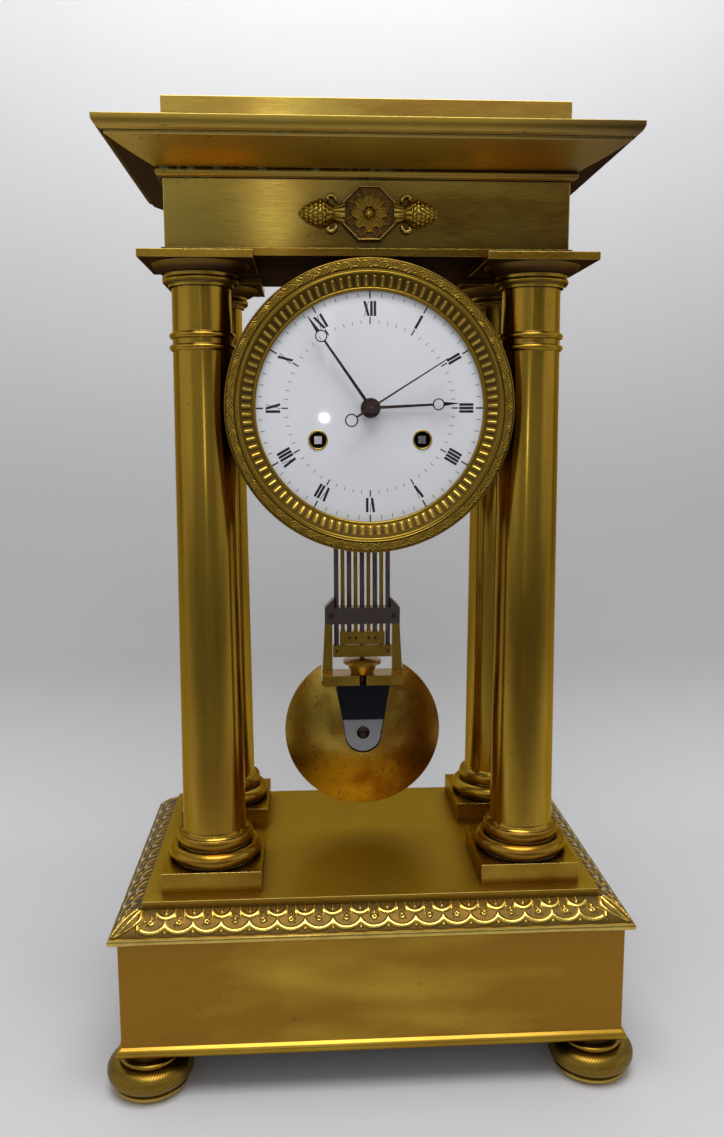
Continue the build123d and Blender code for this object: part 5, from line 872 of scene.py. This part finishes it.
class CLOCK_OT_rosette(bpy.types.Operator):
    """Makes the frieze ornament: rosette, scrolled collars and two pine cones"""

    bl_idname = "clock.rosette"
    bl_label = "Make the frieze ornament"

    def execute(self, context):
        cone = np.concatenate([line((19.2, 0.0), (19.2, 4.9), 3),
                               arc((19.3, 5.1), (21.0, 6.2), (23.4, 5.7), 24),
                               arc((23.6, 5.6), (28.2, 3.6), (31.4, 0.9), 36),
                               line((31.7, 0.5), (31.8, 0.0), 3)])
        collar = np.concatenate([line((11.0, 0.0), (11.0, 5.2), 3),
                                 arc((11.2, 5.3), (14.6, 3.8), (19.0, 5.6), 28),
                                 line((19.2, 5.6), (19.2, 0.0), 3)])
        patches = [grid(*rosette_surface(), wrap_u=True)]
        for hand in (-1, 1):
            patches.append(grid(*half_turned(cone, hand, 7, 2.1), wrap_v=True))
            patches.append(grid(*half_turned(collar, hand, 5, 8.0), wrap_v=True))
            patches.extend(grid(*scroll_surface(hand, lift), wrap_v=True) for lift in (-1, 1))
        # Small castings finished with punches: sparkling high points that carry a painted highlight, painted
        # shade between them
        finish = chased_brass("Gilt brass, ornament cast", context.scene.clock_finish, rough=0.22)
        piece("frieze_rosette", patches, "case", finish, ["frieze_ornament"], sharp=60)
        return {"FINISHED"}


# Dial marks

DOME_RISE = 2.6
NUMERALS = ("XII", "I", "II", "III", "IIII", "V", "VI", "VII", "VIII", "IX", "X", "XI")
WIDTHS = {"I": 1.56, "V": 2.9, "X": 2.9}
LETTER_MARGIN = 0.55
NUMERAL_FOOT, NUMERAL_TOP, THICK, THIN = 41.0, 47.6, 1.16, 0.24
HOUR_TICKS = ((48.8, 52.0, 0.32), (37.4, 40.5, 0.28))  # inner and outer radius, half width
MINUTE_TICKS = ((49.3, 51.3, 0.12), (37.5, 39.3, 0.1))
PAINT = 0.05  # how far paint stands proud of the dial
ROOT = 0.08  # how far it reaches in
HOLE_RIM_R = 4.15


def dial_front(radius):
    """Y of the dome's front at a radius."""
    return DIAL_EDGE - DOME_RISE * (1 - (radius / DIAL_R) ** 2)


def numeral_strokes(text):
    """Strokes of a Roman numeral as four-cornered outlines (across, out), thick or thin."""
    strokes = []
    at = -sum(WIDTHS[letter] for letter in text) / 2
    for letter in text:
        centre, reach = at + WIDTHS[letter] / 2, WIDTHS[letter] / 2 - LETTER_MARGIN
        left, right = centre - reach, centre + reach
        slants = {"I": ((centre, centre, THICK),),
                  "V": ((left, centre, THICK), (right, centre, THIN)),
                  "X": ((left, right, THICK), (right, left, THIN))}[letter]
        for top, foot, width in slants:
            strokes.append(((foot - width / 2, NUMERAL_FOOT), (foot + width / 2, NUMERAL_FOOT),
                            (top + width / 2, NUMERAL_TOP), (top - width / 2, NUMERAL_TOP)))
        at += WIDTHS[letter]
    return strokes


def laid_out(outline, turn):
    """Outline (across, out) laid along a spoke of the dial, turned clockwise from twelve, as (x, z)."""
    cos, sin = math.cos(turn), math.sin(turn)
    return [(across * cos + out * sin, out * cos - across * sin) for across, out in outline]


def raised_marks(outlines):
    """Prisms over four-cornered outlines (x, z from the dial's centre), standing proud of the dome."""
    flat = np.array(outlines, float)
    radius = np.hypot(flat[..., 0], flat[..., 1])
    front = np.stack([flat[..., 0], dial_front(radius) - PAINT, flat[..., 1] + DIAL_Z], -1)
    rear = front + np.array([0, PAINT + ROOT, 0])
    return [grid(np.stack([a, b]), wrap_v=True, cap=True) for a, b in zip(front, rear)]


def hole_rim(hand):
    """Thin ring round a winding hole: an ellipse with half axes of 0.42 and 0.32 swept round it."""
    theta = circle(64)[:, None]
    v = circle(12)
    r = HOLE_RIM_R + 0.42 * np.cos(v)
    front = dial_front(math.hypot(HOLE_X, HOLE_Z - DIAL_Z))
    points = np.stack([hand * HOLE_X + r * np.cos(theta), front - 0.32 * np.sin(v) + 0 * theta,
                       HOLE_Z + r * np.sin(theta)], -1)
    return grid(points, np.full(points.shape[:2], 0.8), wrap_u=True, wrap_v=True)


class CLOCK_OT_marks(bpy.types.Operator):
    """Makes the numerals, the ticks and the rims of the winding holes"""

    bl_idname = "clock.marks"
    bl_label = "Make the dial marks"

    def execute(self, context):
        finish = context.scene.clock_finish
        outlines = []
        for hour, text in enumerate(NUMERALS):
            outlines.extend(laid_out(stroke, hour * math.pi / 6) for stroke in numeral_strokes(text))
        for minute in range(60):
            for low, high, half in MINUTE_TICKS if minute % 5 else HOUR_TICKS:
                tick = ((-half, low), (half, low), (half, high), (-half, high))
                outlines.append(laid_out(tick, minute * math.pi / 30))
        # Paint fired at a lower heat: black and duller than the white
        ink = fired_enamel("Black enamel, painted and fired", finish.ink, finish.shade, 0.45)
        piece("dial_marks", raised_marks(outlines), "case", ink)
        # Spun rings: bright gold lines round dark holes
        gilt = chased_brass("Gilt brass, hole rims", finish)
        piece("winding_hole_rims", [hole_rim(hand) for hand in (-1, 1)], "case", gilt)
        return {"FINISHED"}


# Pins of the pendulum

ROD_PITCH = 3.5
BAR_FACE, UPPER_BAR_Z, LOWER_BAR_Z = 14.69, 199.0, 191.7
STIRRUP_FACE, SCREW_X, SCREW_Z = 13.19, 16.9, 211.5


def studs(places, radius, rise):
    """Domed pin ends: section of a flat dome turned about Y at each place (x, y of the face, z)."""
    dome = arc((radius, 0), (0.7 * radius, -0.7 * rise), (0, -rise), 6)
    section = np.concatenate([line((0, 0.3), (radius, 0.3), 2), dome])
    theta = circle(20)[:, None]
    r, y = section[:, 0], section[:, 1] + 0 * theta
    points = np.stack([r * np.cos(theta), y, r * np.sin(theta)], -1)
    return [grid(points + np.array(place), wrap_u=True) for place in places]


class CLOCK_OT_pins(bpy.types.Operator):
    """Makes the pin ends in the gridiron's bars and the stirrup's screw heads"""

    bl_idname = "clock.pins"
    bl_label = "Make the pins"

    def execute(self, context):
        finish = context.scene.clock_finish
        # Filed steel: small dark dots in the brass
        steel = plain_metal("Steel pins, filed flush", finish.blue, finish.dark_steel, 0.35, (0.4, 0.4, 0.4))
        pins = [(rod * ROD_PITCH, BAR_FACE, UPPER_BAR_Z) for rod in (-2, -1, 1, 2)]
        pins += [(rod * ROD_PITCH, BAR_FACE, LOWER_BAR_Z) for rod in (-4, 4)]
        screws = [(x, STIRRUP_FACE, SCREW_Z) for x in (-SCREW_X, SCREW_X)]
        piece("gridiron_pins", studs(pins, 0.85, 0.25), "pendulum", steel)
        piece("stirrup_screws", studs(screws, 1.5, 0.6), "bob", steel)
        return {"FINISHED"}


# Studio

# The camera's place in metres and its turns in radians, solved from the photograph's perspective
CAMERA_AT = (-0.029499, -0.499820, 0.311098)
CAMERA_YAW, CAMERA_PITCH, CAMERA_ROLL = 0.0571155, 0.1424753, -0.0031269


def lay_paper(stage):
    """Sheet of paper that lies under the clock and curves up behind it; seen from behind it is clear."""
    run = np.concatenate([line((-2.4, 0), (0.16, 0), 24), arc((0.17, 0.0), (0.27, 0.035), (0.32, 0.13), 24),
                          line((0.325, 0.15), (0.40, 2.2), 12)])
    x, y = np.meshgrid(np.linspace(-2.4, 2.4, 9), run[:, 0], indexing="ij")
    z = np.broadcast_to(run[:, 1], x.shape)
    mesh = bpy.data.meshes.new("paper")
    mesh.from_pydata(np.stack([x, y, z], -1).reshape(-1, 3), [], quads(*x.shape).tolist())
    mesh.shade_smooth()
    paper = bpy.data.objects.new("paper", mesh)
    bpy.context.scene.collection.objects.link(paper)
    # Uncoated paper: no shine; painted shade darkens it low on the wall and at the near end, painted light
    # lightens it high up, where it turns to the lamps
    made, tree, place, fibre = begin("White paper, matt", ((40, 40, 40), 3.0))
    back = node(tree, "SeparateXYZ", [place], "Y")
    height = node(tree, "SeparateXYZ", [place], "Z")
    tint = layered(tree, stage.floor,
                   (height, 0.005, 0.1, 1.0, stage.wall),
                   (height, 0.25, 0.66, 1.0, stage.lit_paper_top),
                   (fibre, 0.3, 0.7, 0.05, stage.fibre),
                   (back, -0.16, -0.56, 1.0, stage.shaded_paper_end))
    matt = node(tree, "BsdfPrincipled", {"Base Color": tint, "Roughness": 0.95, "Specular IOR Level": 0.1})
    rear = node(tree, "NewGeometry", out="Backfacing")
    one_sided = node(tree, "MixShader", (rear, matt, node(tree, "BsdfTransparent")))
    node(tree, "OutputMaterial", {"Surface": one_sided})
    mesh.materials.append(made)


def hang_lamps(stage):
    """Four soft lamps, each with its place, aim and size."""
    for name, at, aim, size, watts in (
            ("Overhead lamp", (0.0, -0.24, 1.05), (0, 0, 0.15), (0.7, 0.7), stage.key_power),
            ("Strip lamp", (-0.086, -1.55, 0.80), (-0.04, 0, 0.4), (0.07, 0.55), stage.strip_power),
            ("Backdrop lamp", (0.05, 0.10, 1.15), (0.05, 0.38, 0.68), (1.4, 0.2), stage.back_power),
            ("Front lamp", (-0.046, -0.505, 0.315), (0, 0, 0.3), (0.014, 0.014), stage.spark_power)):
        data = bpy.data.lights.new(name, "AREA")
        data.shape = "ELLIPSE"
        data.size, data.size_y = size
        data.energy = watts
        lamp = bpy.data.objects.new(name, data)
        lamp.location = at
        lamp.rotation_euler = (Vector(aim) - Vector(at)).to_track_quat("-Z", "Y").to_euler()
        bpy.context.scene.collection.objects.link(lamp)


def build_room(stage):
    """World that the brass mirrors: light walls, windows above them, and a dark room behind the camera."""
    world = bpy.data.worlds.new("Studio")
    world.use_nodes = True
    tree = world.node_tree
    tree.nodes.clear()
    way = node(tree, "TexCoord", out="Generated")
    right, back, up = (node(tree, "SeparateXYZ", [way], axis) for axis in "XYZ")
    behind = node(tree, "MapRange", (back, -0.64, -0.82))
    below = node(tree, "MapRange", (up, 0.275, 0.25))
    mouth = node(tree, "Math", (behind, below), operation="MULTIPLY")
    leftward = node(tree, "MapRange", (right, -0.05, -0.16))
    above = node(tree, "MapRange", (up, 0.05, 0.12))
    patch = node(tree, "Math", (leftward, above), operation="MULTIPLY")
    room = layered(tree, stage.room,
                   (up, 0.0, 0.15, 1.0, stage.gloom),
                   (patch, 0.0, 1.0, 1.0, stage.doorway))
    light = layered(tree, stage.walls,
                    (up, 0.25, 0.275, 1.0, stage.windows),
                    (up, 0.36, 0.46, 1.0, stage.ceiling),
                    (mouth, 0.0, 1.0, 1.0, room))
    node(tree, "OutputWorld", {"Surface": node(tree, "Background", {"Color": light, "Strength": 1.0})})
    bpy.context.scene.world = world


def set_camera(stage):
    """Camera at its place, turned by yaw, tipped down by pitch and leaned by roll."""
    camera = bpy.data.objects.new("Camera", bpy.data.cameras.new("Camera"))
    camera.data.lens = stage.lens
    camera.data.sensor_width = 36
    level = Vector((math.sin(CAMERA_YAW), math.cos(CAMERA_YAW), 0))
    ahead = level * math.cos(CAMERA_PITCH) - Vector((0, 0, math.sin(CAMERA_PITCH)))
    right = Vector((math.cos(CAMERA_YAW), -math.sin(CAMERA_YAW), 0))
    over = right.cross(ahead)
    side = right * math.cos(CAMERA_ROLL) + over * math.sin(CAMERA_ROLL)
    head = -right * math.sin(CAMERA_ROLL) + over * math.cos(CAMERA_ROLL)
    turn = Matrix((side, head, -ahead)).transposed().to_4x4()
    camera.matrix_world = Matrix.Translation(CAMERA_AT) @ turn
    bpy.context.scene.collection.objects.link(camera)
    bpy.context.scene.camera = camera


class CLOCK_OT_stage(bpy.types.Operator):
    """Makes the floor and backdrop, the lamps, the world and the camera"""

    bl_idname = "clock.stage"
    bl_label = "Make the studio"

    def execute(self, context):
        stage = context.scene.clock_stage
        lay_paper(stage)
        hang_lamps(stage)
        build_room(stage)
        set_camera(stage)
        context.scene.view_settings.view_transform = "Standard"
        return {"FINISHED"}


OPERATORS = (CLOCK_OT_case, CLOCK_OT_movement, CLOCK_OT_pendulum, CLOCK_OT_dial, CLOCK_OT_bezel,
             CLOCK_OT_cornice, CLOCK_OT_rim, CLOCK_OT_feet, CLOCK_OT_rosette, CLOCK_OT_marks, CLOCK_OT_pins,
             CLOCK_OT_stage)


class CLOCK_PT_panel(bpy.types.Panel):
    """Settings and steps of the clock's looks"""

    bl_idname = "CLOCK_PT_panel"
    bl_label = "Portico clock"
    bl_space_type = "VIEW_3D"
    bl_region_type = "UI"
    bl_category = "Clock"

    def draw(self, context):
        for group in (context.scene.clock_finish, context.scene.clock_ornament, context.scene.clock_stage):
            box = self.layout.box()
            for key in group.__annotations__:
                box.prop(group, key)
        for operator in OPERATORS:
            self.layout.operator(operator.bl_idname)


CLASSES = (ClockFinish, ClockOrnament, ClockStage) + OPERATORS + (CLOCK_PT_panel,)


def register():
    """Registers the classes and the scene's settings."""
    for item in CLASSES:
        bpy.utils.register_class(item)
    bpy.types.Scene.clock_finish = PointerProperty(type=ClockFinish)
    bpy.types.Scene.clock_ornament = PointerProperty(type=ClockOrnament)
    bpy.types.Scene.clock_stage = PointerProperty(type=ClockStage)


def unregister():
    """Removes the classes and the scene's settings."""
    del bpy.types.Scene.clock_stage
    del bpy.types.Scene.clock_ornament
    del bpy.types.Scene.clock_finish
    for item in reversed(CLASSES):
        bpy.utils.unregister_class(item)


def main():
    """Registers the add-on and makes every piece in order."""
    register()
    for operator in OPERATORS:
        getattr(bpy.ops.clock, operator.bl_idname.removeprefix("clock."))()


if __name__ == "__main__":
    main()
